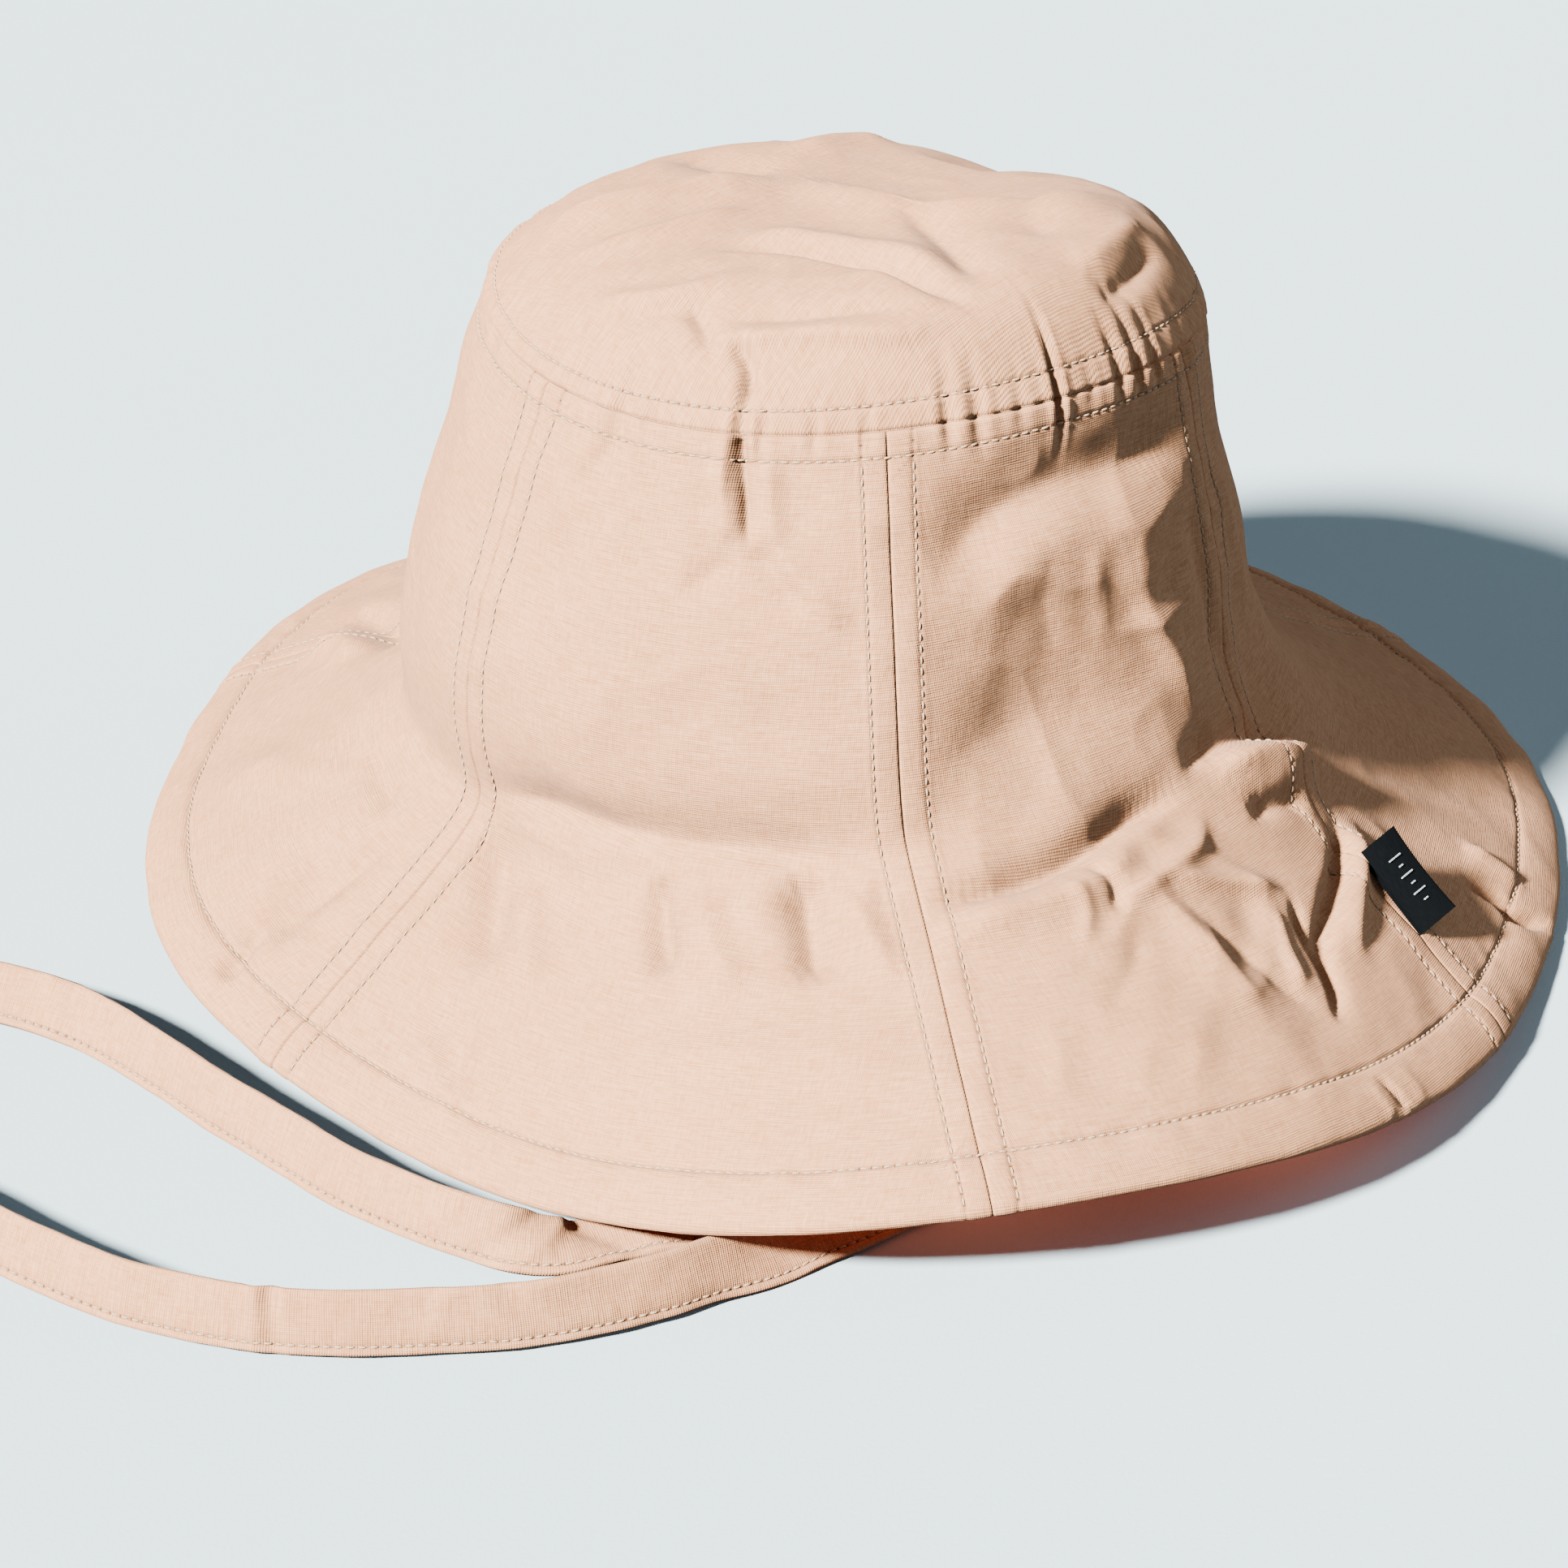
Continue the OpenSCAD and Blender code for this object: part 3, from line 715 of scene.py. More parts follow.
# Bumps: distance and strength
SLUB_BUMP = 4.0
WEAVE_BUMP = (0.00009, 0.6)
CRUMB_BUMP = (0.0003, 0.45)
THREAD_BUMP = (0.00006, 0.6)
RIBBON_BUMP = (0.00006, 0.5)
TABLE_BUMP = (0.0002, 0.25)
# The painted shade along a stitch row, in mm from its middle, and the painted shade in the needle
# holes between its stitches
ROW_RANGE_MM = (0.15, 0.6)
HOLE_RANGE = (0.34, 0.46)
HOLE_PAINTED_SHADE = 0.65
ROW_PAINTED_SHADE = 0.3
ROW_SHADE = 0.22
# Twist of a thread: waves along a stitch and round it, and its share in the tone
TWIST_ALONG = 40.0
TWIST_ROUND = 12.6
TWIST_TONE = 0.16
RIB_PITCH = 0.00034
RIB_TONE = 0.25


class Nodes:
    """Short calls for building one material's nodes."""

    def __init__(self, name):
        self.material = bpy.data.materials.new(name)
        self.material.use_nodes = True
        self.tree = self.material.node_tree
        self.shader = self.tree.nodes["Principled BSDF"]

    def add(self, kind, links=(), **settings):
        node = self.tree.nodes.new(kind)
        for key, value in settings.items():
            setattr(node, key, value)
        for socket, value in links:
            self.set(node, socket, value)
        return node

    def set(self, node, socket, value):
        if isinstance(value, bpy.types.NodeSocket):
            self.tree.links.new(value, node.inputs[socket])
        else:
            node.inputs[socket].default_value = value

    def math(self, operation, *values):
        return self.add("ShaderNodeMath", enumerate(values), operation=operation).outputs[0]

    def plus(self, first, second):
        return self.math("ADD", first, second)

    def times(self, first, second):
        return self.math("MULTIPLY", first, second)

    def waves(self, value, pitch):
        return self.math("SINE", self.times(value, 2 * math.pi / pitch))

    def map(self, name):
        node = self.add("ShaderNodeUVMap", uv_map=name)
        split = self.add("ShaderNodeSeparateXYZ", [(0, node.outputs[0])])
        return node.outputs[0], split.outputs[0], split.outputs[1]

    def noise(self, vector, scale, detail=2.0, stretch=(1, 1, 1)):
        scaled = self.add("ShaderNodeVectorMath", [(0, vector), (1, stretch)], operation="MULTIPLY")
        links = [("Vector", scaled.outputs[0]), ("Scale", scale), ("Detail", detail)]
        return self.add("ShaderNodeTexNoise", links).outputs[0]

    def ramp(self, value, low, high, from_value, to_value):
        links = [(0, value), (1, low), (2, high), (3, from_value), (4, to_value)]
        return self.add("ShaderNodeMapRange", links).outputs[0]

    def mix(self, share, first, second):
        node = self.add("ShaderNodeMix", data_type="RGBA")
        self.set(node, 0, share)
        self.set(node, 6, first)
        self.set(node, 7, second)
        return node.outputs[2]

    def bump(self, height, distance, strength, under=None):
        links = [("Height", height), ("Distance", distance), ("Strength", strength)]
        if under is not None:
            links.append(("Normal", under))
        return self.add("ShaderNodeBump", links).outputs[0]

    def finish(self, colour, normal, constants):
        """Join colour and normal to the shader, and set its constants on its own sockets."""
        self.set(self.shader, "Base Color", colour)
        self.set(self.shader, "Normal", normal)
        for socket, value in constants.items():
            self.set(self.shader, socket, value)
        return self.material


def rgba(colour, factor=1.0):
    return (*[min(1.0, c * factor) for c in colour], 1.0)


def cloth_material(name, colour, deep, rows=True, weave=1.0):
    """Plain-weave cloth: threads both ways, slubs, soft blotches of painted fold shade, and painted
    shade along stitch rows and in their needle holes.
    """
    n = Nodes(name)
    vector, x, y = n.map("weave")
    wobble = n.times(n.noise(vector, WOBBLE_SCALE), WOBBLE)
    x_wobbled = n.plus(x, wobble)
    y_wobbled = n.plus(y, wobble)
    weft = n.waves(y_wobbled, WEFT_PITCH / weave)
    warp = n.waves(x_wobbled, WARP_PITCH / weave)
    weave_height = n.plus(n.times(weft, WEFT_SHARE), n.times(warp, 1 - WEFT_SHARE))
    weft_slub = n.noise(vector, 1.0, 3.0, WEFT_STRETCH)
    warp_slub = n.noise(vector, 1.0, 3.0, WARP_STRETCH)
    slub = n.plus(n.times(weft_slub, SLUB_SHARE), n.times(warp_slub, 1 - SLUB_SHARE))
    speck = n.noise(vector, SPECK_SCALE)
    blotch = n.noise(vector, SHADE_BLOTCH_SCALE, 4.0)
    tone = n.plus(n.times(slub, SLUB_TONE), n.times(weave_height, WEAVE_TONE))
    tone = n.plus(tone, n.times(speck, SPECK_TONE))
    cloth = n.mix(n.ramp(tone, *TONE_RANGE, 0.0, 1.0), rgba(deep), rgba(colour, CLOTH_LIGHT))
    # painted shade: soft random patches are darkened towards the deep tone to stand in for the
    # shade of shallow folds
    cloth = n.mix(n.ramp(blotch, *SHADE_BLOTCH_RANGE, 0.0, SHADE_BLOTCH_DEPTH), cloth, rgba(deep))
    normal = n.bump(n.plus(weave_height, n.times(slub, SLUB_BUMP)), *WEAVE_BUMP)
    normal = n.bump(n.noise(vector, CRUMB_SCALE, 3.0), *CRUMB_BUMP, normal)
    if rows:
        _, gap, count = n.map("rows")
        far = n.math("ABSOLUTE", gap)
        along = n.math("ABSOLUTE", n.math("SUBTRACT", n.math("FRACT", count), 0.5))
        close = n.ramp(far, *ROW_RANGE_MM, 1.0, 0.0)
        hole_shade = n.times(close, n.ramp(along, *HOLE_RANGE, 0.0, 1.0))
        # painted shade: the cloth is darkened along each stitch row and in the needle holes between
        # its stitches, where the stitches dip into it
        painted_shade = n.plus(n.times(hole_shade, HOLE_PAINTED_SHADE), n.times(close, ROW_PAINTED_SHADE))
        cloth = n.mix(painted_shade, cloth, rgba(deep, ROW_SHADE))
    return n.finish(cloth, normal, {"Roughness": 0.88, "Sheen Weight": 0.08,
                                    "Sheen Roughness": 0.5, "Specular IOR Level": 0.25})


def thread_material(name, colour):
    """Twisted sewing thread: a diagonal twist along each stitch and a soft gloss."""
    n = Nodes(name)
    vector, x, y = n.map("thread")
    twist = n.math("SINE", n.plus(n.times(x, TWIST_ALONG), n.times(y, TWIST_ROUND)))
    tone = n.plus(n.times(twist, TWIST_TONE), n.noise(vector, 6.0))
    colours = n.mix(n.ramp(tone, 0.3, 0.8, 0.0, 1.0), rgba(colour, 0.78), rgba(colour, 1.08))
    return n.finish(colours, n.bump(twist, *THREAD_BUMP), {"Roughness": 0.55,
                                                           "Sheen Weight": 0.15})


def label_material():
    """Black satin-woven ribbon with fine ribs."""
    n = Nodes("label_ribbon")
    vector, _, y = n.map("weave")
    rib = n.waves(y, RIB_PITCH)
    tone = n.plus(n.times(rib, RIB_TONE), n.noise(vector, 1.0, 2.0, (2600, 500, 1)))
    colours = n.mix(n.ramp(tone, 0.2, 0.9, 0.0, 1.0), rgba(BLACK, 0.7), rgba(BLACK, 2.6))
    return n.finish(colours, n.bump(tone, *RIBBON_BUMP), {"Roughness": 0.7,
                                                          "Specular IOR Level": 0.12})


def floor_material():
    """Plain pale table cloth with a faint texture."""
    n = Nodes("table")
    place = n.add("ShaderNodeNewGeometry").outputs["Position"]
    blotch = n.noise(place, 3.0, 3.0)
    grain = n.noise(place, 900.0)
    share = n.plus(n.times(blotch, 0.6), n.times(grain, 0.4))
    colours = n.mix(n.ramp(share, 0.3, 0.7, 0.0, 1.0), rgba(FLOOR, 0.975), rgba(FLOOR, 1.02))
    return n.finish(colours, n.bump(grain, *TABLE_BUMP), {"Roughness": 0.9,
                                                          "Specular IOR Level": 0.2})


OUTER = cloth_material("outer_cloth", BLUSH, BLUSH_DEEP)
LINING_CLOTH = cloth_material("lining_cloth", LINING, BLUSH_DEEP, rows=False)
BAND_CLOTH = cloth_material("sweatband_cloth", LINING, BLUSH_DEEP, rows=False, weave=0.6)
TIE_CLOTH = cloth_material("tie_cloth", BLUSH, BLUSH_DEEP)
SEWING = thread_material("sewing_thread", THREAD)
MARK_THREAD = thread_material("mark_thread", MARK)
RIBBON = label_material()

# ---------------------------------------------------------------- stitches

STITCH_LENGTH = 0.00175
STITCH_HALF = 0.00023
STITCH_SIDES = 6
STITCH_TURN = 1.7
STITCH_SWAY = 0.05
STITCH_SEED = 100
STITCH_STATIONS = np.array([-0.5, -0.36, -0.12, 0.12, 0.36, 0.5])
STITCH_HEIGHTS = np.array([-0.45, 0.45, 0.95, 0.95, 0.45, -0.45])
STITCH_WIDTHS = np.array([0.55, 0.95, 1.0, 1.0, 0.95, 0.55])


def resample(line, step, *others):
    """The line and its companions at even steps of length."""
    lengths = np.linalg.norm(np.diff(line, axis=0), axis=1)
    run = np.concatenate([[0], np.cumsum(lengths)])
    count = max(2, int(round(run[-1] / step)) + 1)
    at = np.linspace(0, run[-1], count)
    return [np.stack([np.interp(at, run, column) for column in values.T], -1)
            for values in (line, *others)]


def stitch_geometry(middles, tangents, normals, length=STITCH_LENGTH, half=STITCH_HALF):
    """Points, quads and map values of one short arched thread at each middle."""
    sides = unit(np.cross(normals, tangents))
    rises = np.cross(tangents, sides)
    angle = np.arange(STITCH_SIDES) * 2 * np.pi / STITCH_SIDES
    count = len(middles)
    stations = len(STITCH_STATIONS)
    along = (STITCH_STATIONS * length)[None, :, None, None] * tangents[:, None, None, :]
    lift = (STITCH_HEIGHTS * half)[None, :, None, None] * rises[:, None, None, :]
    circle = (np.cos(angle)[None, None, :, None] * sides[:, None, None, :]
              + np.sin(angle)[None, None, :, None] * rises[:, None, None, :])
    ring = half * STITCH_WIDTHS[None, :, None, None] * circle
    points = middles[:, None, None, :] + along + lift + ring
    one = grid_faces(stations, STITCH_SIDES, ring=True)
    each = stations * STITCH_SIDES
    quads = (np.arange(count) * each)[:, None, None] + one[None]
    maps = np.stack(np.broadcast_arrays(
        (np.arange(count)[:, None, None] * STITCH_TURN + STITCH_STATIONS[None, :, None]),
        angle[None, None, :] / (2 * np.pi)), -1)
    return points.reshape(-1, 3), quads.reshape(-1, 4), maps.reshape(-1, 2)


def stitches_along(line, normals, seed):
    """Stitches along a line on the cloth, slightly uneven as a sewn row is."""
    even, even_normals = resample(line, STITCH_PITCH, normals)
    middles = (even[:-1] + even[1:]) / 2
    tangents = unit(even[1:] - even[:-1])
    outward = unit(even_normals[:-1] + even_normals[1:])
    rng = np.random.default_rng(SEED + STITCH_SEED + seed)
    sway = rng.normal(0, STITCH_SWAY, (len(middles), 1)) * unit(np.cross(outward, tangents))
    return stitch_geometry(middles, unit(tangents + sway), outward)


def make_threads(name, parts, material, replaced=()):
    """One piece of thread from several sets of stitches."""
    starts = np.cumsum([0] + [len(points) for points, _, _ in parts[:-1]])
    points = np.concatenate([part[0] for part in parts])
    quads = np.concatenate([part[1] + start for part, start in zip(parts, starts)])
    maps = np.concatenate([part[2] for part in parts])
    return make_piece(name, points, [quads], {"thread": maps}, material, replaced)


def make_stitches(name, rows, replaced=()):
    """One piece from several rows, each a line with its normals."""
    parts = [stitches_along(line, normals, k) for k, (line, normals) in enumerate(rows)]
    return make_threads(name, parts, SEWING, replaced)


# ---------------------------------------------------------------- ties (cords)

TIE_W = 0.014
TIE_T = 0.0018
TIE_STEP = 0.0012
TIE_FINE_STEP = 0.0005
TIE_END = 0.002
TIE_END_SLIM = 0.45
TIE_CURL = 0.35
# Middle lines of the ties, with the lean in degrees: 0 stands on its edge and 90 lies flat
TIE_LEFT_ROUTE = (
    (-0.097, 0.001, 0.0544, 0), (-0.097, -0.002, 0.046, 0), (-0.097, -0.007, 0.036, 0),
    (-0.096, -0.017, 0.026, 0), (-0.094, -0.030, 0.016, 0), (-0.089, -0.046, 0.0095, 10),
    (-0.079, -0.063, 0.008, 20), (-0.064, -0.079, 0.008, 20), (-0.046, -0.092, 0.008, 20),
    (-0.028, -0.099, 0.008, 15), (-0.012, -0.103, 0.008, 10), (0.000, -0.110, 0.008, 0),
    (0.005, -0.122, 0.008, 0), (-0.001, -0.134, 0.0078, 10), (-0.014, -0.142, 0.0064, 40),
    (-0.028, -0.147, 0.0038, 70), (-0.042, -0.150, 0.0016, 84), (-0.054, -0.154, 0.0016, 84),
    (-0.065, -0.159, 0.0038, 62), (-0.076, -0.160, 0.0064, 38), (-0.087, -0.156, 0.0074, 25),
    (-0.099, -0.149, 0.0074, 25), (-0.113, -0.139, 0.0074, 25), (-0.129, -0.124, 0.0074, 25),
    (-0.144, -0.110, 0.0074, 25), (-0.158, -0.096, 0.0074, 25), (-0.171, -0.083, 0.007, 30),
    (-0.184, -0.073, 0.0062, 40), (-0.198, -0.066, 0.0058, 45), (-0.213, -0.061, 0.0058, 45),
    (-0.229, -0.058, 0.0058, 45),
)
TIE_RIGHT_ROUTE = (
    (0.082, 0.001, 0.0718, 0), (0.082, 0.000, 0.063, 0), (0.083, -0.004, 0.052, 0),
    (0.084, -0.011, 0.040, 0), (0.085, -0.021, 0.028, 0), (0.086, -0.034, 0.017, 0),
    (0.084, -0.049, 0.0095, 10), (0.078, -0.066, 0.008, 15), (0.069, -0.083, 0.008, 20),
    (0.058, -0.099, 0.008, 25), (0.045, -0.114, 0.008, 25), (0.032, -0.126, 0.0074, 30),
    (0.019, -0.135, 0.006, 45), (0.007, -0.143, 0.0044, 62), (-0.003, -0.150, 0.0028, 76),
    (-0.012, -0.156, 0.0028, 74), (-0.021, -0.164, 0.005, 52), (-0.031, -0.171, 0.007, 30),
    (-0.041, -0.177, 0.0074, 25), (-0.055, -0.183, 0.0074, 25), (-0.071, -0.188, 0.0074, 25),
    (-0.088, -0.190, 0.0074, 25), (-0.106, -0.191, 0.0074, 25), (-0.123, -0.190, 0.0074, 25),
    (-0.140, -0.186, 0.0074, 25), (-0.156, -0.180, 0.0074, 25), (-0.171, -0.171, 0.0074, 25),
    (-0.185, -0.161, 0.0074, 25), (-0.199, -0.150, 0.0074, 25), (-0.214, -0.140, 0.0074, 25),
    (-0.230, -0.133, 0.0074, 25),
)
# Creases across the ties: metres along the tie, height, width and slant, in mm
TIE_LEFT_CREASES = (
    (0.215, 1.0, 3.0, 0.6), (0.262, -1.1, 2.4, 0.8), (0.270, 1.4, 2.8, 0.9),
    (0.283, -1.2, 2.2, -0.9), (0.291, 1.0, 2.4, -0.9), (0.424, 1.2, 2.4, 0.4),
    (0.431, -0.8, 2.0, 0.4), (0.350, 0.4, 6.0, 0.1),
)
TIE_RIGHT_CREASES = (
    (0.300, 0.8, 3.0, 0.5), (0.352, 1.3, 1.6, 0.1), (0.356, -1.0, 1.4, 0.1),
    (0.318, -0.6, 3.0, -0.5), (0.392, 0.5, 5.0, 0.2), (0.330, 0.4, 4.0, 0.3),
)
TIE_PROFILE = np.array([-1, -0.97, -0.9, -0.8, -0.7, -0.62, -0.5, -0.3, -0.1, 0.1, 0.3, 0.5, 0.7,
                        0.85, 0.95, 1])
TIE_PUFF = np.array([0.25, 0.62, 0.86, 0.78, 0.5, 0.72, 0.92, 1.0, 1.0, 1.0, 1.0, 1.0, 0.96, 0.85,
                     0.6, 0.2])
TIE_ROW_AT = -0.70
TIE_ROW_SEAT = 0.52


def tie_frame(route):
    """Even centre line of a tie with its wide and thin directions and lengths along it."""
    dense = spline(route, TIE_FINE_STEP)
    line, leans = resample(dense[:, :3], TIE_STEP, dense[:, 3:])
    tangents = unit(np.gradient(line, axis=0))
    side = unit(np.cross(tangents, UP))
    rise = np.cross(side, tangents)
    lean = np.radians(leans)
    wide = np.cos(lean) * rise + np.sin(lean) * side
    thin = np.cos(lean) * side - np.sin(lean) * rise
    run = np.concatenate([[0], np.cumsum(np.linalg.norm(np.diff(line, axis=0), axis=1))])
    return line, wide, thin, run


def tie_shift(run, place, creases, points, seed):
    """Sideways shift of the tie's cloth at lengths run and places from -1 to 1 across it."""
    total = ripple(points, (0.0005, 0.013, seed), (0.00025, 0.005, seed + 1))
    for at, height, width, slanted in creases:
        x = (run - at - slanted * place * TIE_W / 2) / (width * MM)
        total += height * MM * bell(x, 0, 1) * (1 - TIE_CURL + TIE_CURL * place)
    return total


def make_tie(name, node, route, creases, seed):
    """One tie, puffed and creased along its route, with its stitch row on both faces."""
    line, wide, thin, run = tie_frame(route)
    half_w = TIE_W / 2
    half_t = TIE_T / 2
    across = np.concatenate([TIE_PROFILE, TIE_PROFILE[-2:0:-1]])
    puff = np.concatenate([TIE_PUFF, -TIE_PUFF[-2:0:-1]])
    ends = soft_step(np.minimum(run, run[-1] - run) / TIE_END)
    slim = (TIE_END_SLIM + (1 - TIE_END_SLIM) * ends)[:, None, None]
    base = line[:, None] + half_w * across[None, :, None] * wide[:, None]
    shift = tie_shift(run[:, None], across[None, :], creases, base, seed)[..., None]
    points = base + shift * thin[:, None] + slim * half_t * puff[None, :, None] * thin[:, None]
    rows = len(line)
    columns = len(across)
    quads = grid_faces(rows, columns, ring=True)
    caps = [np.arange(columns)[::-1].reshape(1, -1),
            (np.arange(columns) + (rows - 1) * columns).reshape(1, -1)]
    weave = np.stack(np.broadcast_arrays(half_w * across[None, :], run[:, None]), -1)
    marks = np.stack(np.broadcast_arrays((across[None, :] - TIE_ROW_AT) * half_w / MM,
                                         run[:, None] / STITCH_PITCH), -1)
    piece = make_piece(name, points, [quads] + caps, {"weave": weave, "rows": marks}, TIE_CLOTH,
                       (node,))
    rows_made = []
    for sign in (1, -1):
        seat = line + half_w * TIE_ROW_AT * wide
        push = tie_shift(run, TIE_ROW_AT, creases, seat, seed)[:, None]
        seat = seat + (push + sign * half_t * TIE_ROW_SEAT) * thin
        rows_made.append((seat[2:-2], sign * thin[2:-2]))
    sewn = make_stitches(name + "_stitches", rows_made)
    return piece


make_tie("left_tie", "tie_left", TIE_LEFT_ROUTE, TIE_LEFT_CREASES, 41)
make_tie("right_tie", "tie_right", TIE_RIGHT_ROUTE, TIE_RIGHT_CREASES, 43)

# ---------------------------------------------------------------- outer panels and lining

NEAR_SEAM_MM = np.array([0, 0.12, 0.28, 0.5, 0.8, 1.2, 1.7, 2.3, 2.9, 3.5, 4.1, 4.6, 5.0, 5.3,
                         5.6, 5.9, 6.3, 6.8, 7.4, 8.1, 9.0])
MID_COLUMNS = 120
TOP_ROWS_MM = np.array([0, 0.25, 0.6, 1.1, 1.7, 2.4, 3.1, 3.8, 4.4, 4.9, 5.3, 5.7, 6.1, 6.6, 7.2,
                        8.0, 9.0])
HEM_ROWS_MM = np.array([15, 14.2, 13.5, 13.0, 12.6, 12.3, 12.0, 11.7, 11.3, 10.8, 10, 9, 8, 7, 6,
                        5, 4, 3, 2.2, 1.5, 0.9, 0.4, 0])
MID_ROWS = 165
ROLL_TURNS = np.radians([30, 60, 90, 120, 150])
ROLL_STRETCH = 1.1
HEM_STEP = 0.0001
FAR_MARK = 9.0


def panel_columns(i, t, near, middle):
    """Azimuths of a panel's grid: columns at set distances near its seams, even between."""
    lines = [seam_line(i, t), seam_line(i + 1, t)]
    if i + 1 == PANELS:
        lines[1] = seam_line(0, t) + 360
    reach = [reach_of(skin(line, t)[0]) for line in lines]
    left = lines[0][:, None] + np.degrees(near * MM / reach[0][:, None])
    right = lines[1][:, None] - np.degrees(near[::-1] * MM / reach[1][:, None])
    share = np.arange(1, middle)[None] / middle
    between = left[:, -1:] * (1 - share) + right[:, :1] * share
    return np.concatenate([left, between, right], 1), (lines[0] + lines[1]) / 2


def panel_rows(a_mid, top, low, middle):
    """Shares t of a panel's rows: set distances near the crown seam and the edge."""
    length = float(slant(a_mid))
    start = top[-1] * MM / length
    end = 1 - low[0] * MM / length
    between = start + (end - start) * np.arange(1, middle) / middle
    return np.concatenate([top * MM / length, between, 1 - low * MM / length])


def row_marks(a, t, points):
    """Distance in mm to the nearest stitch row and the place along it in stitches."""
    gap = t * slant(a)
    rest = (1 - t) * slant(a)
    run = np.radians(np.mod(a, 360)) * reach_of(points)
    values = [(np.abs(seam_gap(a, t, points)) - ROW_OFFSET, gap), (gap - ROW_OFFSET, run),
              (rest - HEM_W, run)]
    best, along = values[0]
    for far, other in values[1:]:
        nearer = np.abs(far) < np.abs(best)
        best = np.where(nearer, far, best)
        along = np.where(nearer, other, along)
    return np.stack([best / MM, along / STITCH_PITCH], -1)


def shell_faces(rows, columns, extra):
    """Faces of a closed panel: outer rows, extra rows round the edge, then inner rows back."""
    total = 2 * rows + extra
    skin_faces = grid_faces(total, columns)
    j = np.arange(rows - 1)
    back = total - 1 - j
    sides = []
    for k, flip in ((0, 1), (columns - 1, -1)):
        quad = np.stack([j * columns + k, back * columns + k, (back - 1) * columns + k,
                         (j + 1) * columns + k], -1)
        sides.append(quad[:, ::flip])
    k = np.arange(columns - 1)
    last = (total - 1) * columns
    top = np.stack([k + 1, last + k + 1, last + k, k], -1)
    round_edge = np.arange(rows - 1, rows + extra + 1)
    caps = [(round_edge * columns)[None, ::-1], (round_edge * columns + columns - 1)[None]]
    return [np.concatenate([skin_faces] + sides + [top])] + caps


def make_panel(name, i, node):
    """One outer panel with its turned hem, closed round the edge."""
    a_mid = FIRST_SEAM + (i + 0.5) * 360 / PANELS
    t = panel_rows(a_mid, TOP_ROWS_MM, HEM_ROWS_MM, MID_ROWS)
    a, a_middle = panel_columns(i, t, NEAR_SEAM_MM, MID_COLUMNS)
    t_grid = np.broadcast_to(t[:, None], a.shape)
    smooth, normals = skin(a, t_grid)
    outer = smooth + wall_relief(a, t_grid, smooth)[..., None] * normals
    rest = (1 - t_grid) * slant(a)
    thick = np.where(rest < HEM_W + HEM_STEP, HEM_T, CLOTH_T)[..., None]
    inner = smooth + (wall_relief(a, t_grid, smooth, False)[..., None] - thick) * normals
    along = unit(outer[-1] - outer[-3])
    middle = (outer[-1] + inner[-1]) / 2
    radius = np.linalg.norm(outer[-1] - inner[-1], axis=-1) / 2
    up = unit(outer[-1] - inner[-1])
    roll = [middle + radius[:, None] * (np.cos(turn) * up + ROLL_STRETCH * np.sin(turn) * along)
            for turn in ROLL_TURNS]
    points = np.concatenate([outer, np.array(roll), inner[::-1]])
    across = np.radians(a - a_middle[:, None]) * reach_of(smooth)
    weave = np.stack([across, t_grid * slant(a)], -1)
    marks = row_marks(a, t_grid, smooth)
    edge_weave = np.stack([weave[-1] + np.array([0, turn * HEM_T / 2]) for turn in ROLL_TURNS])
    far_marks = np.full_like(marks, FAR_MARK)
    maps = {"weave": np.concatenate([weave, edge_weave, weave[::-1]]),
            "rows": np.concatenate([marks, far_marks[:len(ROLL_TURNS)], far_marks])}
    faces = shell_faces(len(t), a.shape[1], len(ROLL_TURNS))
    return make_piece(name, points, faces, maps, OUTER, (node,))


LINING_COLUMNS = 70
LINING_ROWS = 80
LINING_TOP = 0.01
LINING_END = 0.925
LINING_SEAM_MM = np.array([0.3, 1.0, 3.0])
LINING_CAP = 0.012
LINING_T = 0.00063


def make_lining(name, i, node):
    """One lining panel, a thin closed shell under the outer one."""
    t = np.linspace(LINING_TOP, LINING_END, LINING_ROWS)
    a, a_middle = panel_columns(i, t, LINING_SEAM_MM, LINING_COLUMNS)
    t_grid = np.broadcast_to(t[:, None], a.shape)
    smooth, normals = skin(a, t_grid)
    height = np.minimum(wall_relief(a, t_grid, smooth, False), LINING_CAP)[..., None]
    outer = smooth + (height - LINING_DEPTH) * normals
    inner = outer - LINING_T * normals
    points = np.concatenate([outer, inner[::-1]])
    across = np.radians(a - a_middle[:, None]) * reach_of(smooth)
    weave = np.stack([across, t_grid * slant(a)], -1)
    faces = shell_faces(len(t), a.shape[1], 0)[:1]
    return make_piece(name, points, faces, {"weave": np.concatenate([weave, weave[::-1]])},
                      LINING_CLOTH, (node,))


TIP_COLUMNS = 480
TIP_T = 0.00072
TIP_HOLE = 0.006
TIP_SAMPLES = 400
TIP_WEAVE = (0.77, 0.64)
TIP_ROWS_MM = np.concatenate([TOP_ROWS_MM, np.arange(9.8, 40, 0.85), np.arange(40.5, 96, 1.1)])


def tip_rows():
    """Shares q of the tip's rows, from its seam inwards, by distance along the dome."""
    q = np.linspace(TIP_HOLE, 1, TIP_SAMPLES)
    dome = tip_smooth(np.zeros_like(q), q)
    run = np.concatenate([[0], np.cumsum(np.linalg.norm(np.diff(dome, axis=0), axis=1))])
    gap = run[-1] - run
    inside = TIP_ROWS_MM[TIP_ROWS_MM * MM < gap[0]]
    return np.interp(inside * MM, gap[::-1], q[::-1]), inside * MM


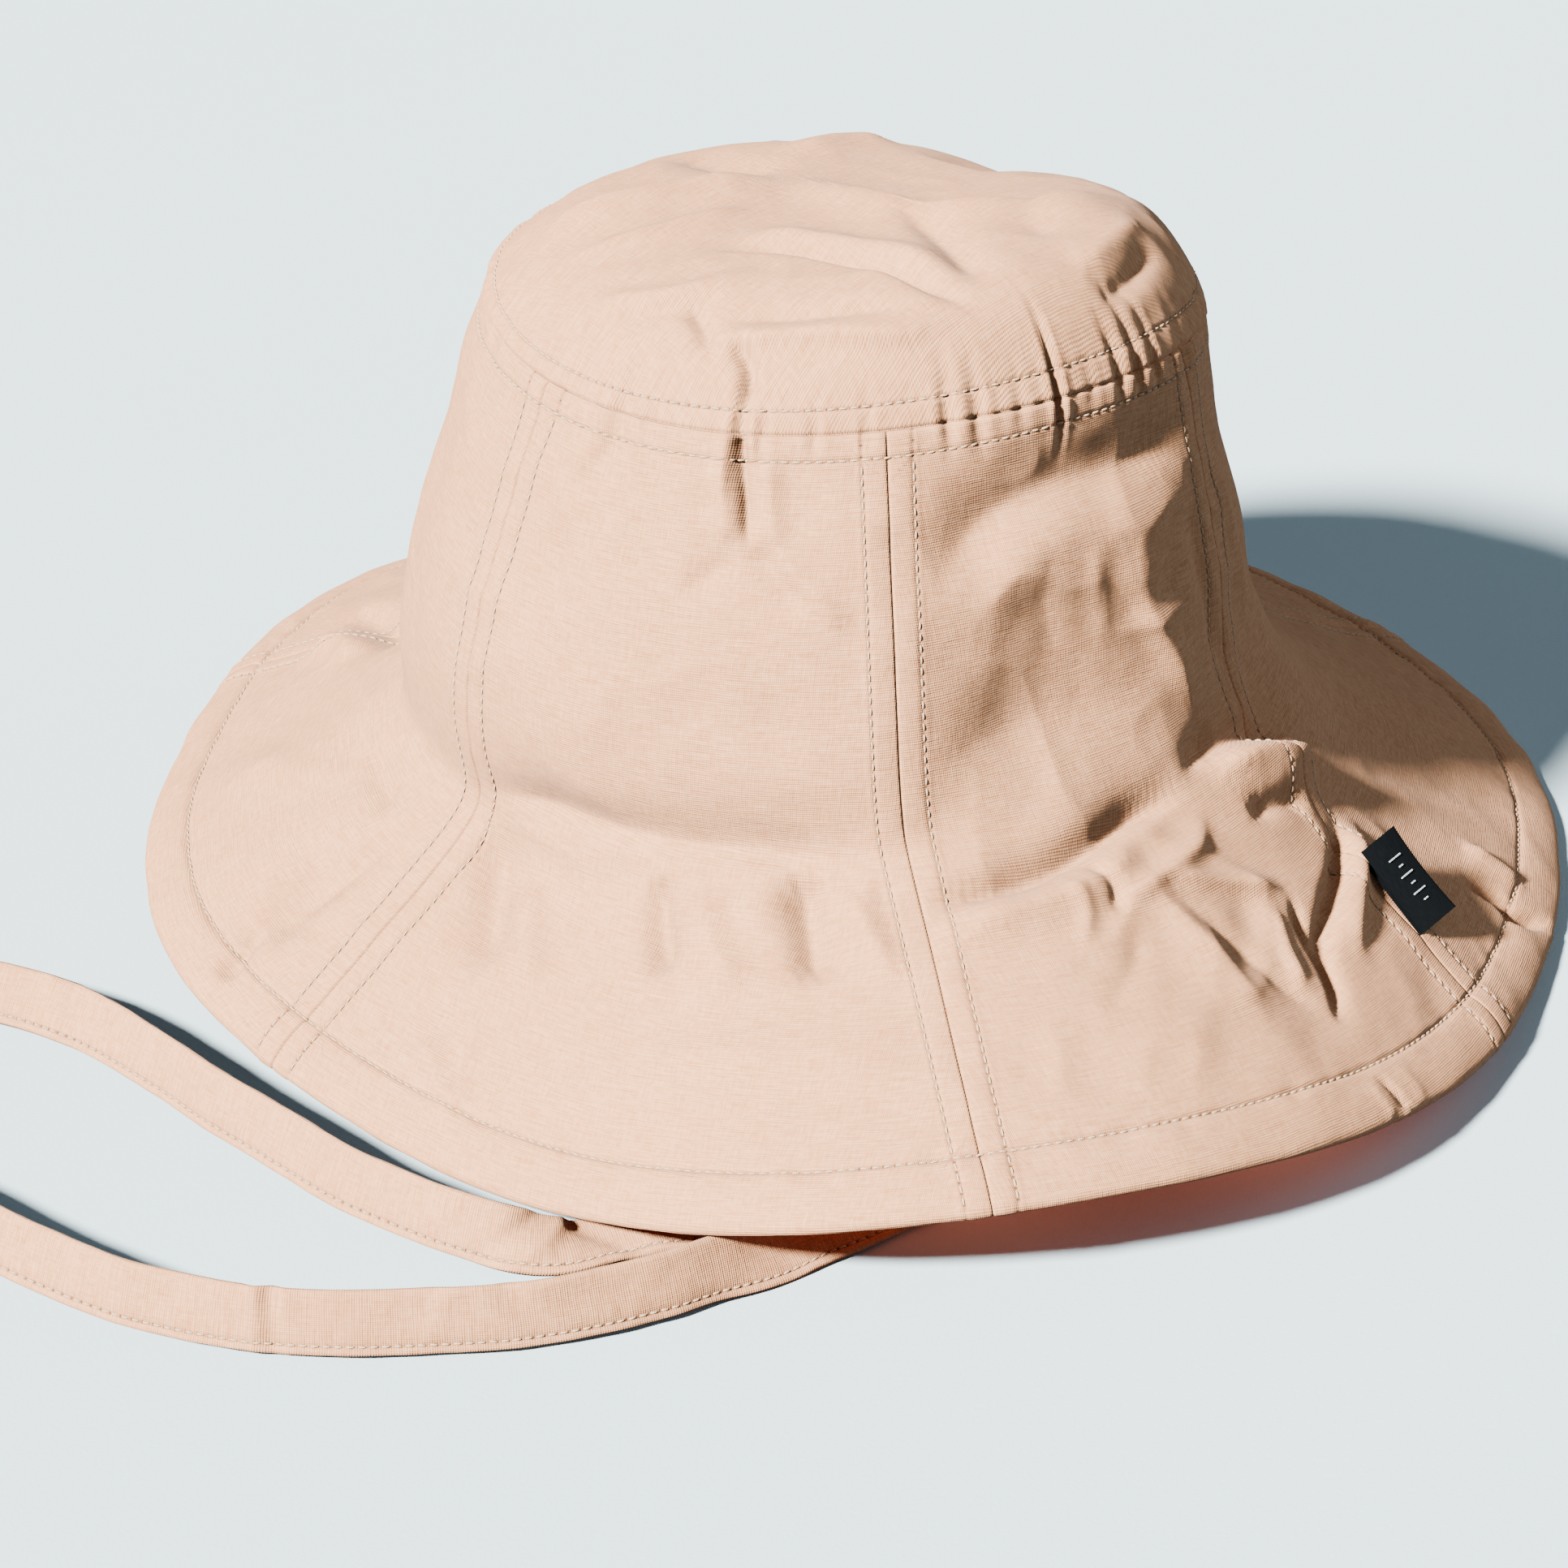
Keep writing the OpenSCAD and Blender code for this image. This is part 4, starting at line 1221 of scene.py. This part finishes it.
def make_tip(name, node, depth, stitched, material):
    """The tip or its lining: two faces from the crown seam inwards, with a fan at the middle."""
    q, gap = tip_rows()
    a = np.arange(TIP_COLUMNS) * 360 / TIP_COLUMNS
    a_grid, q_grid = np.meshgrid(a, q)
    gap_grid = np.broadcast_to(gap[:, None], a_grid.shape)
    smooth, normals = tip_skin(a_grid, q_grid)
    height = tip_relief(a_grid, smooth, gap_grid, stitched)[..., None]
    outer = smooth + (height - depth) * normals
    inner = outer - TIP_T * normals
    rows = len(q)
    points = np.concatenate([outer, inner[::-1]])
    middle = 2 * rows * TIP_COLUMNS
    faces = grid_faces(rows, TIP_COLUMNS, ring=True)[:, ::-1]
    under = grid_faces(rows, TIP_COLUMNS, ring=True, start=rows * TIP_COLUMNS)[:, ::-1]
    k = np.arange(TIP_COLUMNS)
    after = (k + 1) % TIP_COLUMNS
    top_row = (rows - 1) * TIP_COLUMNS
    under_row = rows * TIP_COLUMNS
    last = (2 * rows - 1) * TIP_COLUMNS
    rim = np.stack([k, last + k, last + after, after], -1)[:, ::-1]
    fans = [np.stack([top_row + k, top_row + after, np.full_like(k, middle)], -1),
            np.stack([under_row + after, under_row + k, np.full_like(k, middle + 1)], -1)]
    centres = [outer[-1].mean(axis=0), inner[-1].mean(axis=0)]
    points = np.concatenate([points.reshape(-1, 3), centres])
    weave = points[:, :2] - CROWN_MID
    cos, sin = TIP_WEAVE
    turned = np.stack([weave[:, 0] * cos + weave[:, 1] * sin,
                       weave[:, 1] * cos - weave[:, 0] * sin], -1)
    run = np.radians(a_grid) * CROWN_R
    marks = np.stack([(gap_grid - ROW_OFFSET) / MM, run / STITCH_PITCH], -1)
    marks = np.concatenate([marks.reshape(-1, 2), np.full((rows * TIP_COLUMNS + 2, 2), FAR_MARK)])
    return make_piece(name, points, [np.concatenate([faces, under, rim]), np.concatenate(fans)],
                      {"weave": turned, "rows": marks}, material, (node,))


def make_shell():
    for i in range(PANELS):
        outer = make_panel(f"panel_{i + 1}", i, f"outer_panel_{i + 1}")
        lining = make_lining(f"lining_{i + 1}", i, f"lining_panel_{i + 1}")
    tip = make_tip("crown", "crown_tip", 0, True, OUTER)
    inside = make_tip("lining_crown", "lining_tip", LINING_DEPTH, False, LINING_CLOTH)


make_shell()

# ---------------------------------------------------------------- stitch rows of the hat


SEAM_ROW_TOP = 0.038
SEAM_ROW_END = 0.997
ABOVE_HEM = 0.004
BELOW_HEM = 0.006
ROW_SAMPLES = 500
RING_SAMPLES = 900
TIP_RING_SAMPLES = 600


def seam_rows(i):
    """The two stitch rows beside seam i, each in two stretches, broken at the hem's row."""
    rows = []
    hem = 1 - HEM_W / float(slant(FIRST_SEAM + i * 360 / PANELS))
    for side in (-1, 1):
        for low, high in ((SEAM_ROW_TOP, hem - ABOVE_HEM), (hem + BELOW_HEM, SEAM_ROW_END)):
            t = np.linspace(low, high, max(12, int((high - low) * ROW_SAMPLES)))
            base = seam_line(i, t)
            reach = reach_of(skin(base, t)[0])
            a = base + side * np.degrees(ROW_OFFSET / reach)
            rows.append(wall_cloth(a, t))
    return rows


def ring_row(gap=None, rest=None):
    """The row round the hat at a set distance from the crown seam or from the edge."""
    a = np.linspace(0, 360, RING_SAMPLES)
    t = gap / slant(a) if gap is not None else 1 - rest / slant(a)
    return wall_cloth(a, t)


def tip_row():
    """The row above the crown seam."""
    a = np.linspace(0, 360, TIP_RING_SAMPLES)
    q_rows, gaps = tip_rows()
    q = np.full_like(a, np.interp(ROW_OFFSET, gaps, q_rows))
    points, normals = tip_skin(a, q)
    height = tip_relief(a, points, np.full_like(a, ROW_OFFSET))
    return points + height[:, None] * normals, normals


def make_rows():
    for i in range(PANELS):
        make_stitches(f"seam_stitches_{i + 1}", seam_rows(i), (f"seam_topstitch_{i + 1}",))
    lower = [ring_row(gap=ROW_OFFSET)]
    make_stitches("crown_stitches_lower", lower, ("crown_topstitch_lower",))
    make_stitches("hem_stitches", [ring_row(rest=HEM_W)], ("hem_topstitch",))
    make_stitches("crown_stitches_upper", [tip_row()], ("crown_topstitch_upper",))


make_rows()

# ---------------------------------------------------------------- label

LABEL_L = 0.023
LABEL_W = 0.012
LABEL_T = 0.0007
LABEL_SEAM = 1
LABEL_AT = 0.778
LABEL_TILT = 0.36
LABEL_AZIMUTH = 66.0
LABEL_ROWS = 41
LABEL_COLUMNS = 19
LABEL_LIFT = 0.0012
LABEL_BOW = 0.05
LABEL_CURL = 0.0006
LABEL_FOLD = 0.93
LABEL_PUFF = 1.6
# The mark: its rows of the label's grid, and the columns that long and short bars span
MARK_ROWS = (10, 14, 18, 22, 26, 30)
MARK_SPANS = ((6, 13), (8, 11))
MARK_RAISE = 0.00005
MARK_STITCH = (0.0008, 0.00022)


def make_label():
    """Folded ribbon caught in seam 2, standing a little off the brim on its far side."""
    along = np.linspace(-0.5, 0.5, LABEL_ROWS)
    t = LABEL_AT + along * LABEL_L / float(slant(LABEL_AZIMUTH))
    base = seam_line(LABEL_SEAM, t)
    root, normals = wall_cloth(base, t, False)
    side = unit(wall_cloth(base + 4, t, False)[0] - root).mean(axis=0)
    tangent = unit(root[-1] - root[0])
    root = root.mean(axis=0) + along[:, None] * LABEL_L * tangent
    side = unit(side - (side @ tangent) * tangent)
    normal = unit(np.cross(tangent, side))
    normal = normal if normal @ normals.mean(axis=0) > 0 else -normal
    out = np.concatenate([np.linspace(0, 1, LABEL_COLUMNS), np.linspace(1, 0, LABEL_COLUMNS)])
    layer = np.repeat([0.5, -0.5], LABEL_COLUMNS)
    past = np.maximum(out - LABEL_FOLD, 0) / (1 - LABEL_FOLD)
    bend = np.sqrt(np.maximum(0, 1 - past ** 2))
    lift = LABEL_LIFT + LABEL_W * (LABEL_TILT * out + LABEL_BOW * np.sin(np.pi * out))
    lift = lift + layer * LABEL_T * LABEL_PUFF * np.maximum(bend, 0.25)
    curl = LABEL_CURL * (2 * along[:, None]) ** 2 * out[None]
    grid = root[:, None] + (LABEL_W * out)[None, :, None] * side
    grid = grid + (lift[None] + curl)[..., None] * normal
    weave = np.stack(np.broadcast_arrays(LABEL_W * out[None], LABEL_L * (along[:, None] + 0.5)), -1)
    make_piece("label", grid, [grid_faces(LABEL_ROWS, 2 * LABEL_COLUMNS)], {"weave": weave},
               RIBBON, ("woven_label",))
    make_mark(grid[:, :LABEL_COLUMNS], normal)


def bar_of(line, normals, size):
    """Stitches of a given length and half width along the line, one between each two points."""
    middles = (line[:-1] + line[1:]) / 2
    return stitch_geometry(middles, unit(line[1:] - line[:-1]), normals, *size)


def make_mark(grid, normal):
    """A plain generic mark on the label: a row of small woven bars."""
    parts = []
    for k, row in enumerate(MARK_ROWS):
        start, end = MARK_SPANS[k % 2]
        line = grid[row, start:end] + MARK_RAISE * normal
        parts.append(bar_of(line, np.broadcast_to(normal, line[1:].shape), MARK_STITCH))
    make_threads("label_mark", parts, MARK_THREAD)


make_label()

# ---------------------------------------------------------------- sweatband and bartacks

BAND_TOP = 0.325
BAND_LOW = 0.485
BAND_DEPTH = 0.0032
BAND_T = 0.0009
BAND_COLUMNS = 300
BAND_SEAM = 187.0
BAND_GAP = 0.4
BAND_ROWS = 16
BAND_PUFF = 0.25
# Mean radius and mean length down the cloth, for the band's weave
BAND_R = 0.09
BAND_LENGTH = 0.18


def make_sweatband():
    """A band with rolled edges at the head line, inside the lining."""
    a = BAND_SEAM + np.linspace(BAND_GAP, 360 - BAND_GAP, BAND_COLUMNS)
    share = np.concatenate([np.linspace(0, 1, BAND_ROWS), np.linspace(1, 0, BAND_ROWS)])
    deep = np.repeat([0.0, 1.0], BAND_ROWS)
    puff = BAND_PUFF * np.sin(np.pi * share)
    t = BAND_TOP + (BAND_LOW - BAND_TOP) * share
    a_grid, t_grid = np.meshgrid(a, t, indexing="ij")
    smooth, normals = skin(a_grid, t_grid)
    height = wall_relief(a_grid, t_grid, smooth, False)
    depth = BAND_DEPTH + BAND_T * (deep + puff * (2 * deep - 1))[None]
    points = smooth + (height - depth)[..., None] * normals
    weave = np.stack([np.radians(a_grid) * BAND_R, t_grid * BAND_LENGTH], -1)
    faces = grid_faces(BAND_COLUMNS, 2 * BAND_ROWS, ring=True)
    end = np.arange(2 * BAND_ROWS)
    caps = [end[None, ::-1], (end + (BAND_COLUMNS - 1) * 2 * BAND_ROWS)[None]]
    make_piece("sweatband_cloth", points, [faces] + caps, {"weave": weave}, BAND_CLOTH,
               ("sweatband",))


BARTACK_ROWS = 11
BARTACK_L = 0.012
BARTACK_POINTS = 9
BARTACK_LOW = 0.455
BARTACK_PITCH = 0.0022
BARTACK_SHIFT = 0.25
BARTACK_R = 0.094
BARTACK_DEPTH = 0.004415
BARTACK_STITCH = (0.0018, 0.00026)


def make_bartack(name, azimuth, node):
    """Dense stitches that hold a tie's end on the sweatband."""
    turn = np.degrees(BARTACK_L / 2 / BARTACK_R)
    parts = []
    for k in range(BARTACK_ROWS):
        t = np.full(BARTACK_POINTS, BARTACK_LOW - BARTACK_PITCH * k)
        a = azimuth + np.linspace(-turn, turn, BARTACK_POINTS) + BARTACK_SHIFT * (-1) ** k
        smooth, normals = skin(a, t)
        height = wall_relief(a, t, smooth, False)
        line = smooth + (height - BARTACK_DEPTH)[:, None] * normals
        parts.append(bar_of(line, -normals[1:], BARTACK_STITCH))
    make_threads(name, parts, SEWING, (node,))


make_sweatband()
make_bartack("bartack_stitches_left", -90.0, "bartack_left")
make_bartack("bartack_stitches_right", 90.0, "bartack_right")

# ---------------------------------------------------------------- table and light

FLOOR_HALF = 6.0
SUN_FROM = (-49.0, 38.0)
SUN_SOFTNESS = 6.5
SUN_STRENGTH = 18.5
SUN_COLOUR = (1.0, 0.97, 0.92)
SKY_COLOUR = (0.80, 0.90, 1.0)
SKY_STRENGTH = 0.10
# Weak red lamps under the brim stand for sunlight that comes through the pink cloth
GLOW_PLACES = ((0.02, -0.125, 0.020), (0.085, -0.100, 0.016))
GLOW_POWER = 0.014
GLOW_SIZE = 0.02
GLOW_COLOUR = (1.0, 0.25, 0.14)
FILL_PLACE = (3.1, 0.5, 1.6)
FILL_SIZE = 3.0
FILL_POWER = 30.0
FILL_COLOUR = (0.72, 0.88, 1.0)


def make_floor():
    corners = [(-FLOOR_HALF, -FLOOR_HALF, 0), (FLOOR_HALF, -FLOOR_HALF, 0),
               (FLOOR_HALF, FLOOR_HALF, 0), (-FLOOR_HALF, FLOOR_HALF, 0)]
    mesh = bpy.data.meshes.new("table_top")
    mesh.from_pydata(corners, [], [(0, 1, 2, 3)])
    mesh.materials.append(floor_material())
    floor = bpy.data.objects.new("table_top", mesh)
    bpy.context.scene.collection.objects.link(floor)


def add_lamp(name, kind, power, colour, place=(0, 0, 0), turn=(0, 0, 0)):
    """A lamp in the scene. Returns its object."""
    data = bpy.data.lights.new(name, kind)
    data.energy = power
    data.color = colour
    lamp = bpy.data.objects.new(name, data)
    lamp.location = place
    lamp.rotation_euler = turn
    bpy.context.scene.collection.objects.link(lamp)
    return lamp


def make_light():
    azimuth, height = np.radians(SUN_FROM)
    key = add_lamp("key", "SUN", SUN_STRENGTH, SUN_COLOUR, turn=(math.pi / 2 - height, 0, azimuth))
    key.data.angle = math.radians(SUN_SOFTNESS)
    key.data.cycles.max_bounces = 0
    towards_hat = Vector(FILL_PLACE).to_track_quat("Z", "Y").to_euler()
    fill = add_lamp("fill", "AREA", FILL_POWER, FILL_COLOUR, FILL_PLACE, towards_hat)
    fill.data.size = FILL_SIZE
    for place in GLOW_PLACES:
        glow = add_lamp("glow", "POINT", GLOW_POWER, GLOW_COLOUR, place)
        glow.data.shadow_soft_size = GLOW_SIZE
        glow.visible_camera = False
    world = bpy.data.worlds.new("studio")
    bpy.context.scene.world = world
    world.use_nodes = True
    sky = world.node_tree.nodes["Background"]
    sky.inputs["Color"].default_value = (*SKY_COLOUR, 1)
    sky.inputs["Strength"].default_value = SKY_STRENGTH


make_floor()
make_light()
